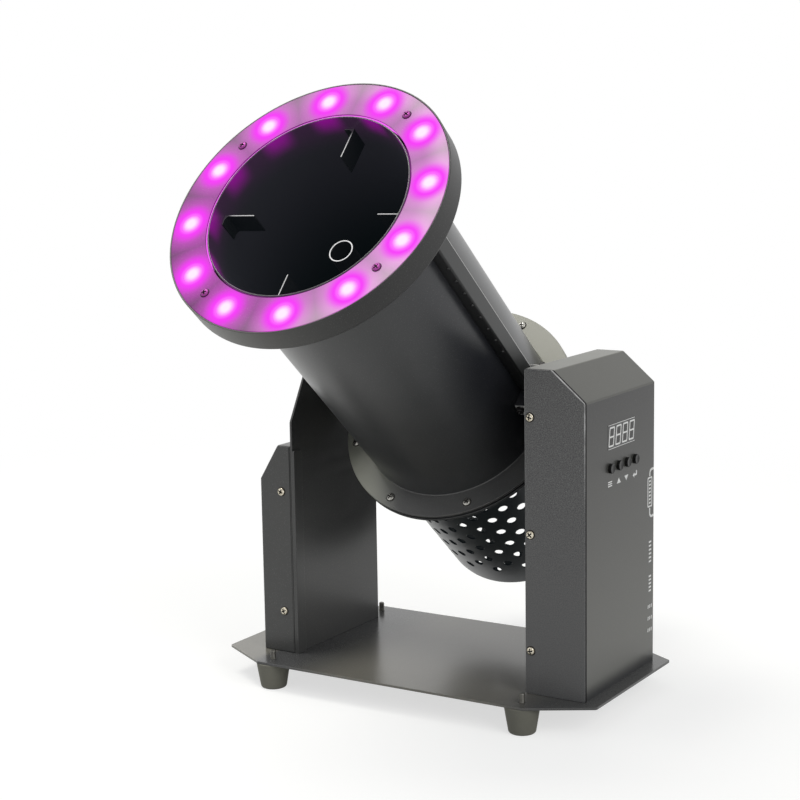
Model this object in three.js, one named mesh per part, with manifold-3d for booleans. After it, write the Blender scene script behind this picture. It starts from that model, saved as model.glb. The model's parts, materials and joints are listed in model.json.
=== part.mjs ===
// Stage confetti blower: a tilting barrel with an LED ring at its mouth, carried between two sheet-steel arms.
// Millimetres, +Z up. The origin is on the floor under the middle of the machine's length and depth, +X points to
// the control box, and the barrel's mouth points to -Y and up.

import * as THREE from "three";
import { mergeVertices } from "three/addons/utils/BufferGeometryUtils.js";
import Module from "manifold-3d";

const wasm = await Module();
wasm.setup();

// Working values
const gap = 0.3; // clearance between pieces that seat on each other
const overrun = 4; // how far a cutting tool runs past the face that it cuts
const weld = 1e-4; // vertices closer than this are one
const barrelSides = 36;
const smallSides = 8;
const innerSides = 24;
const shaftSides = 16;
const arcSteps = 3;
const beltArcSteps = 16;

// Base plate and feet
const plateLength = 425;
const plateDepth = 240;
const plateThickness = 2.5;
const plateCutX = 60;
const plateCutY = 35;
const plateCornerRadius = 4;
const footInsetX = 68.5; // from the plate's ends to the middle of a foot
const footInsetY = 16;
const footHeight = 27;
const footTopRadius = 17.5;
const footBottomRadius = 13;
const footEdge = 3;
const footRecessRadius = 6.5;
const footRecessDepth = 13;
const footScrewRadius = 3;
const footScrewHeadRadius = 5.5;
const footScrewHeadHeight = 4;
const footScrewStand = 9;
const channelFootGap = 16.5;
const channelWidth = 30;
const channelDepth = 8;
const channelWall = 1.2;
const cableInset = 18.6;
const cableHoleRadius = 7;

// Tilt axis and arms
const pivotHeight = 273.6; // above the plate's top
const armRise = 7.7; // the arms' tops above the tilt pulley's rim
const barrelElevation = 40.5; // degrees above level, at rest
const armHalfDepth = 78.3;
const armSheet = 2.5;
const coverSheet = 1.5;
const armFootWidth = 28;
const armFootHalfDepth = 40;
const flangeWidth = 17.5;
const flangeLift = 6;
const shaftHoleRadius = 12;
const coverScrewRadius = 2;
const coverScrewLength = 10;
const coverScrewHeadRadius = 4;
const coverScrewHeadHeight = 2.6;

// Left arm and its cover
const leftWebGap = 2; // between the trunnion's collar and the web
const leftArmShoulderDrop = 31.2; // below the tilt axis
const leftArmTopInset = 40.3;
const leftHemThickness = 2.1;
const leftHemWidth = 14;
const leftHemDrop = 29.4;
const leftCoverWidth = 38.2;
const leftCoverDrop = 56; // from the tilt axis to the cover's top
const leftCoverSlopeHeight = 36.3;
const leftCoverSlopeWidth = 22.3;
const leftScrewInset = 12;
const leftScrewLow = 43.7;
const leftScrewDrop = 11.8;
const supplyClearance = 8.2;
const supplyWidth = 97;
const supplyHeadroom = 14.3;
const supplyLift = 8;
const supplyTerminalDepth = 18;
const supplyTerminalHeight = 12;

// Right arm and control box
const rightWebGap = 4.4;
const boxFlatMargin = 9;
const boxSlopeWidth = 33.6;
const boxShoulderRise = 10.9; // above the tilt axis
const boxCornerRadius = 2.5;
const rearFlangeLift = 22.5;
const topFlangeMargin = 4;
const topFlangeInset = 18.3;
const rightScrewInset = 5.9;
const rightScrewLow = 42.6;
const rightScrewDrops = [128.7, 16.5];

// Display, buttons and boards
const displayWidth = 61;
const displayHeight = 24;
const displayY = 1.5;
const displayDrop = 39.75; // below the box's shoulder
const windowProud = 0.2;
const windowLip = 3;
const windowLipThickness = 1.5;
const digitBlockWidth = 50;
const digitBlockHeight = 20;
const digitBlockDepth = 5.5;
const boardThickness = 1.6;
const displayBoardMargin = 15.5;
const displayBoardHeight = 60;
const displayBoardDrop = 10.75;
const displayBoardStand = 8;
const standoffRadius = 2.5;
const standoffInset = 4;
const buttonCount = 4;
const buttonPitch = 18.43;
const buttonRowY = 3.85;
const buttonDrop = 29.85;
const buttonRadius = 3.7;
const buttonProud = 3.3;
const buttonTravel = 0.5;
const buttonCollarRadius = 4.8;
const buttonCollarThickness = 1.2;
const buttonCollarPlay = 0.8;
const switchSize = 6.2;
const switchHeight = 3.5;
const mainBoardStand = 6;
const mainBoardWidth = 95;
const mainBoardInset = 8.3;
const mainBoardLift = 20;
const mainBoardHeadroom = 8;
const relayWidth = 20;
const relayHeight = 16;
const relayDepth = 18;
const chipWidth = 28;
const chipHeight = 12;
const chipDepth = 4;
const capacitorRadius = 7;
const capacitorLength = 20;
const boardTerminalWidth = 70;
const boardTerminalHeight = 10;

// Sockets on the rear of the control box
const socketInset = 16.5;
const socketMiddleInset = 30.75;
const socketSpacing = 1.5;
const socketFlangeThickness = 2;
const mainsZ = 40;
const mainsFlangeHeight = 50;
const mainsBodyWidth = 20;
const mainsBodyHeight = 28;
const mainsBodyDepth = 25;
const mainsRecessWidth = 16.5;
const mainsRecessHeight = 24.5;
const mainsRecessDepth = 15;
const mainsPinWidth = 4;
const mainsPinThickness = 2;
const mainsPinSpread = 7;
const mainsPinOffset = 2;
const mainsPinSetback = 4;
const mainsCoreWall = 2;
const signalZ = 112;
const signalFlangeTrim = 1;
const signalFlangeHeight = 31;
const signalBodyRadius = 11.8;
const signalBodyDepth = 24;
const signalRecessRadius = 9.5;
const signalRecessDepth = 14;
const signalPinRadius = 1.1;
const signalPinCircle = 3.8;
const signalPinSetback = 3;
const signalCoreRadius = 7.6;
const signalHoleRadius = 1.5;
const signalHoleDepth = 10;
const fuseZ = 80;
const fuseBodyRadius = 6;
const fuseBodyDepth = 28;
const fuseCapRadius = 7.5;
const fuseCapLength = 9;
const socketCornerRadius = 3;

// Tilt drive
const trunnionShaftRadius = 10;
const trunnionBoreRadius = 7;
const bearingFlangeThickness = 4;
const bearingLength = 9;
const bearingHubRadius = 19;
const bearingEarDistance = 32;
const bearingEarRadius = 9;
const tiltPulleyGap = 0.8;
const pulleyWidth = 10;
const pulleyRimThickness = 1;
const pulleyRimHeight = 2;
const tiltPulleyRadius = 30;
const motorPulleyRadius = 7.5;
const beltThickness = 1.6;
const beltCentres = 123.6;
const tiltMotorSize = 56.4;
const tiltMotorCorner = 5;
const tiltMotorClearance = 4.2;
const tiltPilotRadius = 19;
const tiltPilotHeight = 1.6;
const tiltShaftRadius = 3;
const tiltShaftEngagement = 5;
const bracketSheet = 2;
const bracketHalfDepth = 33;
const bracketHalfHeight = 32;
const bracketFootWidth = 13;
const bracketSetback = 1.5;
const shaftEndStand = 2;

// Barrel, measured along its axis from the tilt axis
const tubeRadius = 100;
const tubeWall = 1.5;
const flangeReach = 24.3;
const flangeThickness = 3;
const flangeFront = -38.6;
const motorPlateThickness = 2.4;
const motorPlateInset = 3.3;
const motorPlateHoleRadius = 8;
const intakeHoleRadius = 11;
const intakeEdge = 2;
const intakeCount = 6;
const mouthFront = 306;
const ringReach = 38.6;
const ringDepth = 25.8;
const ringSheet = 1.5;
const ringBossAngle = 56.6;
const ringBossCount = 4;
const ringBossRadius = 4;
const ringBossShoulder = 6;
const ringShoulderHeight = 8;
const ledCount = 12;
const ledInset = 19.1;
const ledAngle = 12;
const lensRadius = 8.8;
const lensFootRadius = 6;
const lensPlateThickness = 1.5;
const ledChipSize = 5;
const ledChipHeight = 1.2;
const ledBoardEdge = 3;
const airTubeRadius = 12;
const airTubeWall = 1.2;
const airTubeSetback = 70;
const tabSetback = 16;
const tabLength = 23;
const tabReach = 33;
const tabSheet = 2;
const tabFootWidth = 10.6;
const tabCount = 4;
const ductReach = 12.4;
const ductLow = -6;
const ductHigh = 12;
const ductSheet = 1.5;
const ductCableRadius = 5;

// Trunnion brackets on the barrel
const saddleReach = 24;
const saddleSheet = 3;
const saddleHalfLength = 21.2;
const saddleHalfWidth = 23;
const collarRadius = 16;
const collarLength = 6;
const leftShaftStand = 5.2;

// Blower
const housingInset = 29;
const housingWall = 2;
const housingLength = 49.6;
const housingConeLength = 12;
const spigotLength = 25;
const motorLength = 85;
const motorEdge = 8;
const motorShaftRadius = 4;
const impellerClearance = 7;
const impellerPlateThickness = 2;
const impellerLift = 9.6;
const vaneHeight = 14;
const vaneThickness = 1.6;
const vaneCount = 9;
const vaneAngle = 25;
const hubRadius = 12;
const hubLength = 20;

// Motor guard
const guardStep = 3.3;
const guardWall = 1.5;
const guardLength = 191.4;
const guardEdge = 6;
const guardRimWidth = 46.7;
const guardColumns = 36;
const guardColumnAngle = 6;
const guardHoleRadius = 5;
const guardHoleSides = 4;
const guardRowCount = 6;
const guardFirstRow = 23.3; // behind the guard's flange
const guardLastRow = 35; // before the guard's end
const guardEndHoleInset = 19.7;
const guardEndHoleCount = 18;

// Finishes
const finish = (color, roughness, metalness) => new THREE.MeshStandardMaterial({ color, roughness, metalness });
const coat = finish(0x4a4b4d, 0.55, 0.2);
const innerCoat = finish(0x26272a, 0.6, 0.1);
const rubber = finish(0x37342f, 0.85, 0);
const nickel = finish(0xb9b4a6, 0.3, 0.9);
const steel = finish(0x9aa0a5, 0.35, 0.9);
const aluminium = finish(0xb4b8bb, 0.4, 0.85);
const plastic = finish(0x151515, 0.45, 0);
const smokedPane = finish(0x0d0e10, 0.15, 0);
const lensGlow = finish(0xf03cf0, 0.2, 0);
const circuit = finish(0x1f5a34, 0.5, 0);
const beltRubber = finish(0x1c1c1c, 0.9, 0);

// Geometry helpers. Each returns a closed BufferGeometry.
const radians = THREE.MathUtils.degToRad;
const point = (x, y) => new THREE.Vector2(x, y);

function toSolid(geometry) {
  const flat = geometry.index ? geometry.toNonIndexed() : geometry;
  const bare = new THREE.BufferGeometry();
  bare.setAttribute("position", flat.getAttribute("position"));
  const welded = mergeVertices(bare, weld);
  const vertProperties = new Float32Array(welded.getAttribute("position").array);
  const triVerts = new Uint32Array(welded.index.array);
  return new wasm.Manifold(new wasm.Mesh({ numProp: 3, vertProperties, triVerts }));
}

function toGeometry(solid) {
  const mesh = solid.getMesh();
  const geometry = new THREE.BufferGeometry();
  geometry.setAttribute("position", new THREE.BufferAttribute(mesh.vertProperties, mesh.numProp));
  geometry.setIndex(new THREE.BufferAttribute(mesh.triVerts, 1));
  return geometry;
}

const cut = (body, ...tools) => toGeometry(tools.reduce((left, tool) => left.subtract(toSolid(tool)), toSolid(body)));
const join = (body, ...others) => toGeometry(others.reduce((sum, other) => sum.add(toSolid(other)), toSolid(body)));
const within = (body, limit) => toGeometry(toSolid(body).intersect(toSolid(limit)));

function block(x0, x1, y0, y1, z0, z1) {
  const geometry = new THREE.BoxGeometry(Math.abs(x1 - x0), Math.abs(y1 - y0), Math.abs(z1 - z0));
  return geometry.translate((x0 + x1) / 2, (y0 + y1) / 2, (z0 + z1) / 2);
}

// A closed profile of [radius, height] turned about Z. It may start and end on the axis.
function turned(profile, sides) {
  const points = profile.map(([radius, height]) => point(radius, height));
  if (THREE.ShapeUtils.area(points) < 0) points.reverse();
  if (points[0].x > 0 || points.at(-1).x > 0) points.push(points[0].clone());
  return new THREE.LatheGeometry(points, sides).rotateX(Math.PI / 2);
}

function ringOf(inner, outer, z0, z1, sides) {
  return turned([[inner, z0], [outer, z0], [outer, z1], [inner, z1]], sides);
}

function rod(radius, z0, z1, sides) {
  return turned([[0, z0], [radius, z0], [radius, z1], [0, z1]], sides);
}

const rodX = (radius, x0, x1, y, z, sides) => rod(radius, x0, x1, sides).rotateY(Math.PI / 2).translate(0, y, z);
const rodY = (radius, y0, y1, x, z, sides) => rod(radius, -y1, -y0, sides).rotateX(Math.PI / 2).translate(x, 0, z);

// Sheets of an outline: seen along Z it is drawn in X and Y, along X in Y and Z, along Y in X and Z.
function sheetZ(outline, z0, z1) {
  const shape = outline instanceof THREE.Shape ? outline : new THREE.Shape(outline);
  const settings = { depth: z1 - z0, bevelEnabled: false, curveSegments: arcSteps };
  return new THREE.ExtrudeGeometry(shape, settings).translate(0, 0, z0);
}

const axisX = new THREE.Vector3(1, 0, 0);
const axisY = new THREE.Vector3(0, 1, 0);
const axisZ = new THREE.Vector3(0, 0, 1);
const seenAlongX = new THREE.Matrix4().makeBasis(axisY, axisZ, axisX);
const seenAlongY = new THREE.Matrix4().makeBasis(axisX, axisZ, axisY.clone().negate());
const sheetX = (outline, x0, x1) => sheetZ(outline, x0, x1).applyMatrix4(seenAlongX);
const sheetY = (outline, y0, y1) => sheetZ(outline, -y1, -y0).applyMatrix4(seenAlongY);

function rectangle(x, y, width, height) {
  const right = x + width / 2;
  const top = y + height / 2;
  const left = x - width / 2;
  const bottom = y - height / 2;
  return [point(left, bottom), point(right, bottom), point(right, top), point(left, top)];
}

// The same polygon with each corner rounded.
function rounded(points, radius) {
  const shape = new THREE.Shape();
  points.forEach((corner, index) => {
    const before = points.at(index - 1);
    const after = points[(index + 1) % points.length];
    const start = corner.clone().add(before.clone().sub(corner).setLength(radius));
    const end = corner.clone().add(after.clone().sub(corner).setLength(radius));
    if (index === 0) shape.moveTo(start.x, start.y);
    else shape.lineTo(start.x, start.y);
    shape.quadraticCurveTo(corner.x, corner.y, end.x, end.y);
  });
  shape.closePath();
  return shape;
}

// A convex polygon, anticlockwise, with every side moved inwards by the same amount.
function inset(points, amount) {
  const lines = points.map((start, index) => {
    const along = points[(index + 1) % points.length].clone().sub(start).normalize();
    const inward = point(-along.y, along.x);
    return { start: start.clone().addScaledVector(inward, amount), along };
  });
  return lines.map((line, index) => {
    const before = lines.at(index - 1);
    const offset = line.start.clone().sub(before.start);
    const reach = offset.cross(line.along) / before.along.cross(line.along);
    return before.start.clone().addScaledVector(before.along, reach);
  });
}

// Copies of a geometry turned about Z, the first at the given angle.
function around(geometry, count, firstAngle) {
  const turns = Array.from({ length: count }, (_, index) => radians(firstAngle) + (index * 2 * Math.PI) / count);
  return turns.map((turn) => geometry.clone().rotateZ(turn));
}

function place(group, name, geometry, material) {
  const flat = geometry.index ? geometry.toNonIndexed() : geometry;
  flat.computeVertexNormals();
  const mesh = new THREE.Mesh(flat, material);
  mesh.name = name;
  group.add(mesh);
  return mesh;
}

// Places that several pieces share, each from the size that it depends on
const footX = plateLength / 2 - footInsetX;
const footY = plateDepth / 2 - footInsetY;
const channelY = footY - footTopRadius - channelWidth / 2 - channelFootGap;
const flangeBack = flangeFront - flangeThickness;
const saddleOuterX = tubeRadius + saddleReach;
const ductOuterX = tubeRadius + ductReach;
const leftWebInner = saddleOuterX + collarLength + leftWebGap;
const rightWebInner = saddleOuterX + collarLength + rightWebGap;
const cableX = rightWebInner + cableInset;
const armTop = pivotHeight + tiltPulleyRadius + pulleyRimHeight + armRise;
const boxShoulder = pivotHeight + boxShoulderRise;
const topFlangeWidth = armSheet + flangeWidth + topFlangeMargin;
const boxFlatWidth = armSheet + flangeWidth + boxFlatMargin;
const boxWidth = boxFlatWidth + boxSlopeWidth;
const displayZ = boxShoulder - displayDrop;
const displayBoardZ = displayZ - displayBoardDrop;
const buttonZ = displayZ - buttonDrop;
const tiltMotorZ = pivotHeight - beltCentres;

// Groups: the machine from the plate's underside, what stands on the plate's top, and the barrel with its Z along
// its own axis
const machine = new THREE.Group();
const deck = new THREE.Group();
deck.position.z = plateThickness;
machine.add(deck);
const barrel = new THREE.Group();
barrel.position.z = pivotHeight;
barrel.rotation.x = radians(90 - barrelElevation);
deck.add(barrel);

// Base plate: one sheet with its corners cut, holes for the foot screws and the two cable passages
const footPlaces = [
  ["front_left", -footX, -footY],
  ["front_right", footX, -footY],
  ["rear_left", -footX, footY],
  ["rear_right", footX, footY],
];
const footHoleRadius = footScrewRadius + gap;
const halfLength = plateLength / 2;
const halfDepth = plateDepth / 2;
const plateOutline = [
  point(-halfLength, -halfDepth + plateCutY),
  point(-halfLength + plateCutX, -halfDepth),
  point(halfLength - plateCutX, -halfDepth),
  point(halfLength, -halfDepth + plateCutY),
  point(halfLength, halfDepth - plateCutY),
  point(halfLength - plateCutX, halfDepth),
  point(-halfLength + plateCutX, halfDepth),
  point(-halfLength, halfDepth - plateCutY),
];
const plateHoles = footPlaces.map(([, x, y]) =>
  rod(footHoleRadius, -overrun, plateThickness + overrun, smallSides).translate(x, y, 0),
);
const cableHoles = [-cableX, cableX].map((x) =>
  rod(cableHoleRadius, -overrun, plateThickness + overrun, smallSides).translate(x, channelY, 0),
);
const plateSheet = sheetZ(rounded(plateOutline, plateCornerRadius), 0, plateThickness);
place(machine, "base_plate", cut(plateSheet, ...plateHoles, ...cableHoles), coat);

// Wiring channel: a shallow tray under the plate that takes the leads from the control box to the left cover
const channelEnd = cableX + cableHoleRadius + channelWall + overrun;
const channelHalf = channelWidth / 2;
const channelBody = block(-channelEnd, channelEnd, -channelHalf, channelHalf, -channelDepth, -gap);
const channelHollow = block(
  -channelEnd + channelWall,
  channelEnd - channelWall,
  -channelHalf + channelWall,
  channelHalf - channelWall,
  -channelDepth + channelWall,
  overrun,
);
place(machine, "wiring_channel", cut(channelBody, channelHollow).translate(0, channelY, 0), coat);

// Feet: tapered rubber with a recess below for the screw that holds each one
const recessTop = -footHeight + footRecessDepth;
const footProfile = [
  [footHoleRadius, 0],
  [footHoleRadius, recessTop],
  [footRecessRadius, recessTop],
  [footRecessRadius, -footHeight],
  [footBottomRadius - footEdge, -footHeight],
  [footBottomRadius - footEdge * (1 - Math.SQRT1_2), -footHeight + footEdge * (1 - Math.SQRT1_2)],
  [footBottomRadius, -footHeight + footEdge],
  [footTopRadius, 0],
];
const screwHeadTop = recessTop - gap;
const footScrewProfile = [
  [0, screwHeadTop - footScrewHeadHeight],
  [footScrewHeadRadius, screwHeadTop - footScrewHeadHeight],
  [footScrewHeadRadius, screwHeadTop],
  [footScrewRadius, screwHeadTop],
  [footScrewRadius, plateThickness + footScrewStand],
  [0, plateThickness + footScrewStand],
];
for (const [where, x, y] of footPlaces) {
  place(machine, `foot_${where}`, turned(footProfile, shaftSides), rubber).position.set(x, y, 0);
  place(machine, `foot_screw_${where}`, turned(footScrewProfile, smallSides), nickel).position.set(x, y, 0);
}

// A bent sheet arm: its web, a foot on the plate, and flanges that its covers are screwed to
const screwHoleRadius = coverScrewRadius + gap;
const flangeFace = armHalfDepth - coverSheet - gap;

// A pan-head screw with its head to the front, seated at y = 0
function coverScrew() {
  const domeShare = 0.55;
  const profile = [
    [0, -coverScrewLength],
    [coverScrewRadius, -coverScrewLength],
    [coverScrewRadius, 0],
    [coverScrewHeadRadius, 0],
    [coverScrewHeadRadius, coverScrewHeadHeight * domeShare],
    [coverScrewHeadRadius * domeShare, coverScrewHeadHeight],
    [0, coverScrewHeadHeight],
  ];
  return turned(profile, smallSides).rotateX(Math.PI / 2);
}

// Left arm
const leftWebOuter = -leftWebInner - armSheet;
const leftArmShoulder = pivotHeight - leftArmShoulderDrop;
const leftArmTopHalfDepth = armHalfDepth - leftArmTopInset;
const leftHemHeight = leftArmShoulder - leftHemDrop;
const leftCoverTop = pivotHeight - leftCoverDrop;
const leftCoverShoulder = leftCoverTop - leftCoverSlopeHeight;
const leftScrewHeights = [leftScrewLow, leftCoverShoulder - leftScrewDrop];
const leftWebOutline = [
  point(-armHalfDepth, 0),
  point(armHalfDepth, 0),
  point(armHalfDepth, leftArmShoulder),
  point(leftArmTopHalfDepth, armTop),
  point(-leftArmTopHalfDepth, armTop),
  point(-armHalfDepth, leftArmShoulder),
];
const leftWeb = sheetX(rounded(leftWebOutline, armSheet), leftWebOuter, -leftWebInner);
const leftFlangeEnd = leftWebOuter - flangeWidth - armSheet;
const leftFlangeSpan = [flangeLift, leftCoverShoulder];
const leftFrontFlange = block(leftFlangeEnd, -leftWebInner, -flangeFace, armSheet - flangeFace, ...leftFlangeSpan);
const leftRearFlange = block(leftFlangeEnd, -leftWebInner, flangeFace - armSheet, flangeFace, ...leftFlangeSpan);
const leftFoot = block(leftWebOuter - armFootWidth, -leftWebInner, -armFootHalfDepth, armFootHalfDepth, 0, armSheet);
const hemInner = -leftWebInner + leftHemThickness;
const leftHem = block(leftWebOuter, hemInner, -armHalfDepth, leftHemWidth - armHalfDepth, 0, leftHemHeight);
const leftScrewX = leftWebOuter - leftScrewInset;
const leftScrewHoles = leftScrewHeights.map((z) =>
  rodY(screwHoleRadius, -armHalfDepth - overrun, -flangeFace + armSheet + overrun, leftScrewX, z, smallSides),
);
const leftWebTool = [leftWebOuter - overrun, overrun - leftWebInner];
const leftShaftHole = rodX(shaftHoleRadius, ...leftWebTool, 0, pivotHeight, shaftSides);
const leftBent = join(leftWeb, leftFrontFlange, leftRearFlange, leftFoot, leftHem);
place(deck, "left_arm", cut(leftBent, leftShaftHole, ...leftScrewHoles), coat);

// Left cover: a box with a sloped shoulder, open to the web and to the plate
const leftCoverInner = leftWebOuter - gap;
const leftCoverOuter = leftCoverInner - leftCoverWidth;
const leftCoverSlope = leftCoverOuter + leftCoverSlopeWidth;
const leftCoverOutline = [
  point(leftCoverInner, 0),
  point(leftCoverInner, leftCoverTop),
  point(leftCoverSlope, leftCoverTop),
  point(leftCoverOuter, leftCoverShoulder),
  point(leftCoverOuter, 0),
];
const leftCoverOpen = [
  point(leftCoverInner + coverSheet + overrun, -coverSheet - overrun),
  point(leftCoverInner + coverSheet + overrun, leftCoverTop),
  point(leftCoverSlope, leftCoverTop),
  point(leftCoverOuter, leftCoverShoulder),
  point(leftCoverOuter, -coverSheet - overrun),
];
const coverHalf = armHalfDepth - coverSheet;
const leftCoverBody = sheetY(leftCoverOutline, -armHalfDepth, armHalfDepth);
const leftCoverHollow = sheetY(inset(leftCoverOpen, coverSheet), -coverHalf, coverHalf);
place(deck, "left_cover", cut(leftCoverBody, leftCoverHollow, ...leftScrewHoles), coat);
leftScrewHeights.forEach((z, index) => {
  const screw = place(deck, `left_cover_screw_${index + 1}`, coverScrew(), nickel);
  screw.position.set(leftScrewX, -armHalfDepth, z);
});

// Power supply: a flat steel case on the web inside the left cover, with its terminals at the top end
const supplyTop = leftCoverShoulder - supplyHeadroom;
const supplyOuter = leftWebOuter - leftCoverWidth + supplyClearance;
const supplyCase = block(supplyOuter, leftWebOuter, -supplyWidth / 2, supplyWidth / 2, supplyLift, supplyTop);
const supplyNotch = block(
  supplyOuter - overrun,
  leftWebOuter - supplyTerminalHeight,
  -supplyWidth / 2 - overrun,
  supplyWidth / 2 + overrun,
  supplyTop - supplyTerminalDepth,
  supplyTop + overrun,
);
const terminalEdge = supplyWidth / 2 - supplyTerminalDepth / 2;
const supplyTerminals = block(
  leftWebOuter - 2 * supplyTerminalHeight,
  leftWebOuter - supplyTerminalHeight / 2,
  -terminalEdge,
  terminalEdge,
  supplyTop - supplyTerminalDepth - armSheet,
  supplyTop - armSheet,
);
place(deck, "power_supply", join(cut(supplyCase, supplyNotch), supplyTerminals), aluminium);

// Right arm: the web behind the control box, set in by the box's own sheet at the front, the rear and the top
const rightWebOuter = rightWebInner + armSheet;
const webTop = armTop - coverSheet - gap;
const rearFlangeStart = signalZ + signalFlangeHeight / 2 + rearFlangeLift;
const topFlangeHalfDepth = armHalfDepth - topFlangeInset;
const rightScrewHeights = [rightScrewLow, ...rightScrewDrops.map((drop) => boxShoulder - drop)];
const rightFlangeEnd = rightWebOuter + flangeWidth;
const rightWeb = block(rightWebInner, rightWebOuter, -flangeFace, flangeFace, 0, webTop);
const rightFrontFlange = block(rightWebInner, rightFlangeEnd, -flangeFace, armSheet - flangeFace, flangeLift, webTop);
const rightFlangeBack = flangeFace - armSheet;
const rightRearFlange = block(rightWebInner, rightFlangeEnd, rightFlangeBack, flangeFace, rearFlangeStart, webTop);
const rightFootEnd = rightWebOuter + armFootWidth;
const rightFoot = block(rightWebInner, rightFootEnd, -armFootHalfDepth, armFootHalfDepth, 0, armSheet);
const rightTopFlange = block(
  rightWebInner,
  rightWebInner + topFlangeWidth,
  -topFlangeHalfDepth,
  topFlangeHalfDepth,
  webTop - armSheet,
  webTop,
);
const rightScrewX = rightWebInner + rightScrewInset;
const rightScrewHoles = rightScrewHeights.map((z) =>
  rodY(screwHoleRadius, -armHalfDepth - overrun, -flangeFace + armSheet + overrun, rightScrewX, z, smallSides),
);
const rightWebTool = [rightWebInner - overrun, rightWebOuter + overrun];
const rightShaftHole = rodX(shaftHoleRadius, ...rightWebTool, 0, pivotHeight, shaftSides);
const rightBent = join(rightWeb, rightFrontFlange, rightRearFlange, rightFoot, rightTopFlange);
place(deck, "right_arm", cut(rightBent, rightShaftHole, ...rightScrewHoles), coat);

// Control box: a shell of the outer face, slope, top and rear, and a flat front cover
const boxOuter = rightWebInner + boxWidth;
const boxFlatEnd = rightWebInner + boxFlatWidth;
const boxInnerFace = boxOuter - coverSheet;
const boxOutline = [
  point(rightWebInner, 0),
  point(boxOuter, 0),
  point(boxOuter, boxShoulder),
  point(boxFlatEnd, armTop),
  point(rightWebInner, armTop),
];
const boxOpen = [
  point(rightWebInner - coverSheet - overrun, -coverSheet - overrun),
  point(boxOuter, -coverSheet - overrun),
  point(boxOuter, boxShoulder),
  point(boxFlatEnd, armTop),
  point(rightWebInner - coverSheet - overrun, armTop),
];
const boxBody = sheetY(boxOutline, -coverHalf + gap, armHalfDepth);
const boxHollow = sheetY(inset(boxOpen, coverSheet), -coverHalf - overrun, coverHalf);
const windowOpening = block(
  boxInnerFace - overrun,
  boxOuter + overrun,
  displayY - displayWidth / 2 - gap,
  displayY + displayWidth / 2 + gap,
  displayZ - displayHeight / 2 - gap,
  displayZ + displayHeight / 2 + gap,
);
const buttonPlaces = Array.from({ length: buttonCount }, (_, index) => {
  const steps = index - (buttonCount - 1) / 2;
  return buttonRowY + steps * buttonPitch;
});
const buttonHoleRadius = buttonRadius + gap + gap / 2;
const buttonHoles = buttonPlaces.map((y) =>
  rodX(buttonHoleRadius, boxInnerFace - overrun, boxOuter + overrun, y, buttonZ, smallSides),
);
const socketPitch = 2 * (socketMiddleInset - socketInset);
const socketColumnX = [boxOuter - socketInset - socketPitch, boxOuter - socketInset];
const fuseX = boxOuter - socketMiddleInset;
const rearTool = [coverHalf - overrun, armHalfDepth + overrun];
const mainsOpenings = socketColumnX.map((x) =>
  sheetY(rectangle(x, mainsZ, mainsBodyWidth + 2 * gap, mainsBodyHeight + 2 * gap), ...rearTool),
);
const signalOpenings = socketColumnX.map((x) =>
  rodY(signalBodyRadius + 2 * gap, ...rearTool, x, signalZ, shaftSides),
);
const fuseOpening = rodY(fuseBodyRadius + 2 * gap, ...rearTool, fuseX, fuseZ, smallSides);
const rearOpenings = [...mainsOpenings, ...signalOpenings, fuseOpening];
const boxShell = cut(boxBody, boxHollow, windowOpening, ...buttonHoles, ...rearOpenings);
place(deck, "control_box_shell", boxShell, coat);
const frontSheet = sheetY(rounded(boxOutline, boxCornerRadius), -armHalfDepth, -coverHalf);
place(deck, "control_box_cover", cut(frontSheet, ...rightScrewHoles), coat);
rightScrewHeights.forEach((z, index) => {
  const screw = place(deck, `control_box_screw_${index + 1}`, coverScrew(), nickel);
  screw.position.set(rightScrewX, -armHalfDepth, z);
});

// Display window: a smoked pane in the outer face with a lip behind the sheet
const lipFront = boxInnerFace - gap;
const paneOutline = rectangle(displayY, displayZ, displayWidth, displayHeight);
const windowPane = sheetX(paneOutline, lipFront, boxOuter + windowProud);
const lipOutline = rectangle(displayY, displayZ, displayWidth + 2 * windowLip, displayHeight + 2 * windowLip);
const windowFlange = sheetX(lipOutline, lipFront - windowLipThickness, lipFront);
place(deck, "display_window", join(windowPane, windowFlange), smokedPane);

// Display board: circuit board on four standoffs, with the digit block and a switch behind each button
const displayBoardFront = boxInnerFace - displayBoardStand;
const displayBoardWidth = displayWidth + 2 * displayBoardMargin;
const displayBoardSheet = sheetX(
  rectangle(displayY, displayBoardZ, displayBoardWidth, displayBoardHeight),
  displayBoardFront - boardThickness,
  displayBoardFront,
);
const boardMiddle = displayBoardFront - boardThickness / 2;
const digitBlock = sheetX(
  rectangle(displayY, displayZ, digitBlockWidth, digitBlockHeight),
  boardMiddle,
  displayBoardFront + digitBlockDepth,
);
const switches = buttonPlaces.map((y) =>
  sheetX(rectangle(y, buttonZ, switchSize, switchSize), boardMiddle, displayBoardFront + switchHeight),
);
const standoffY = displayBoardWidth / 2 - standoffInset;
const standoffZ = displayBoardHeight / 2 - standoffInset;
const standoffs = [[-1, -1], [1, -1], [1, 1], [-1, 1]].map(([sideY, sideZ]) =>
  rodX(
    standoffRadius,
    boardMiddle,
    boxInnerFace - gap,
    displayY + sideY * standoffY,
    displayBoardZ + sideZ * standoffZ,
    smallSides,
  ),
);
place(deck, "display_board", join(displayBoardSheet, digitBlock, ...switches, ...standoffs), circuit);

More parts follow.
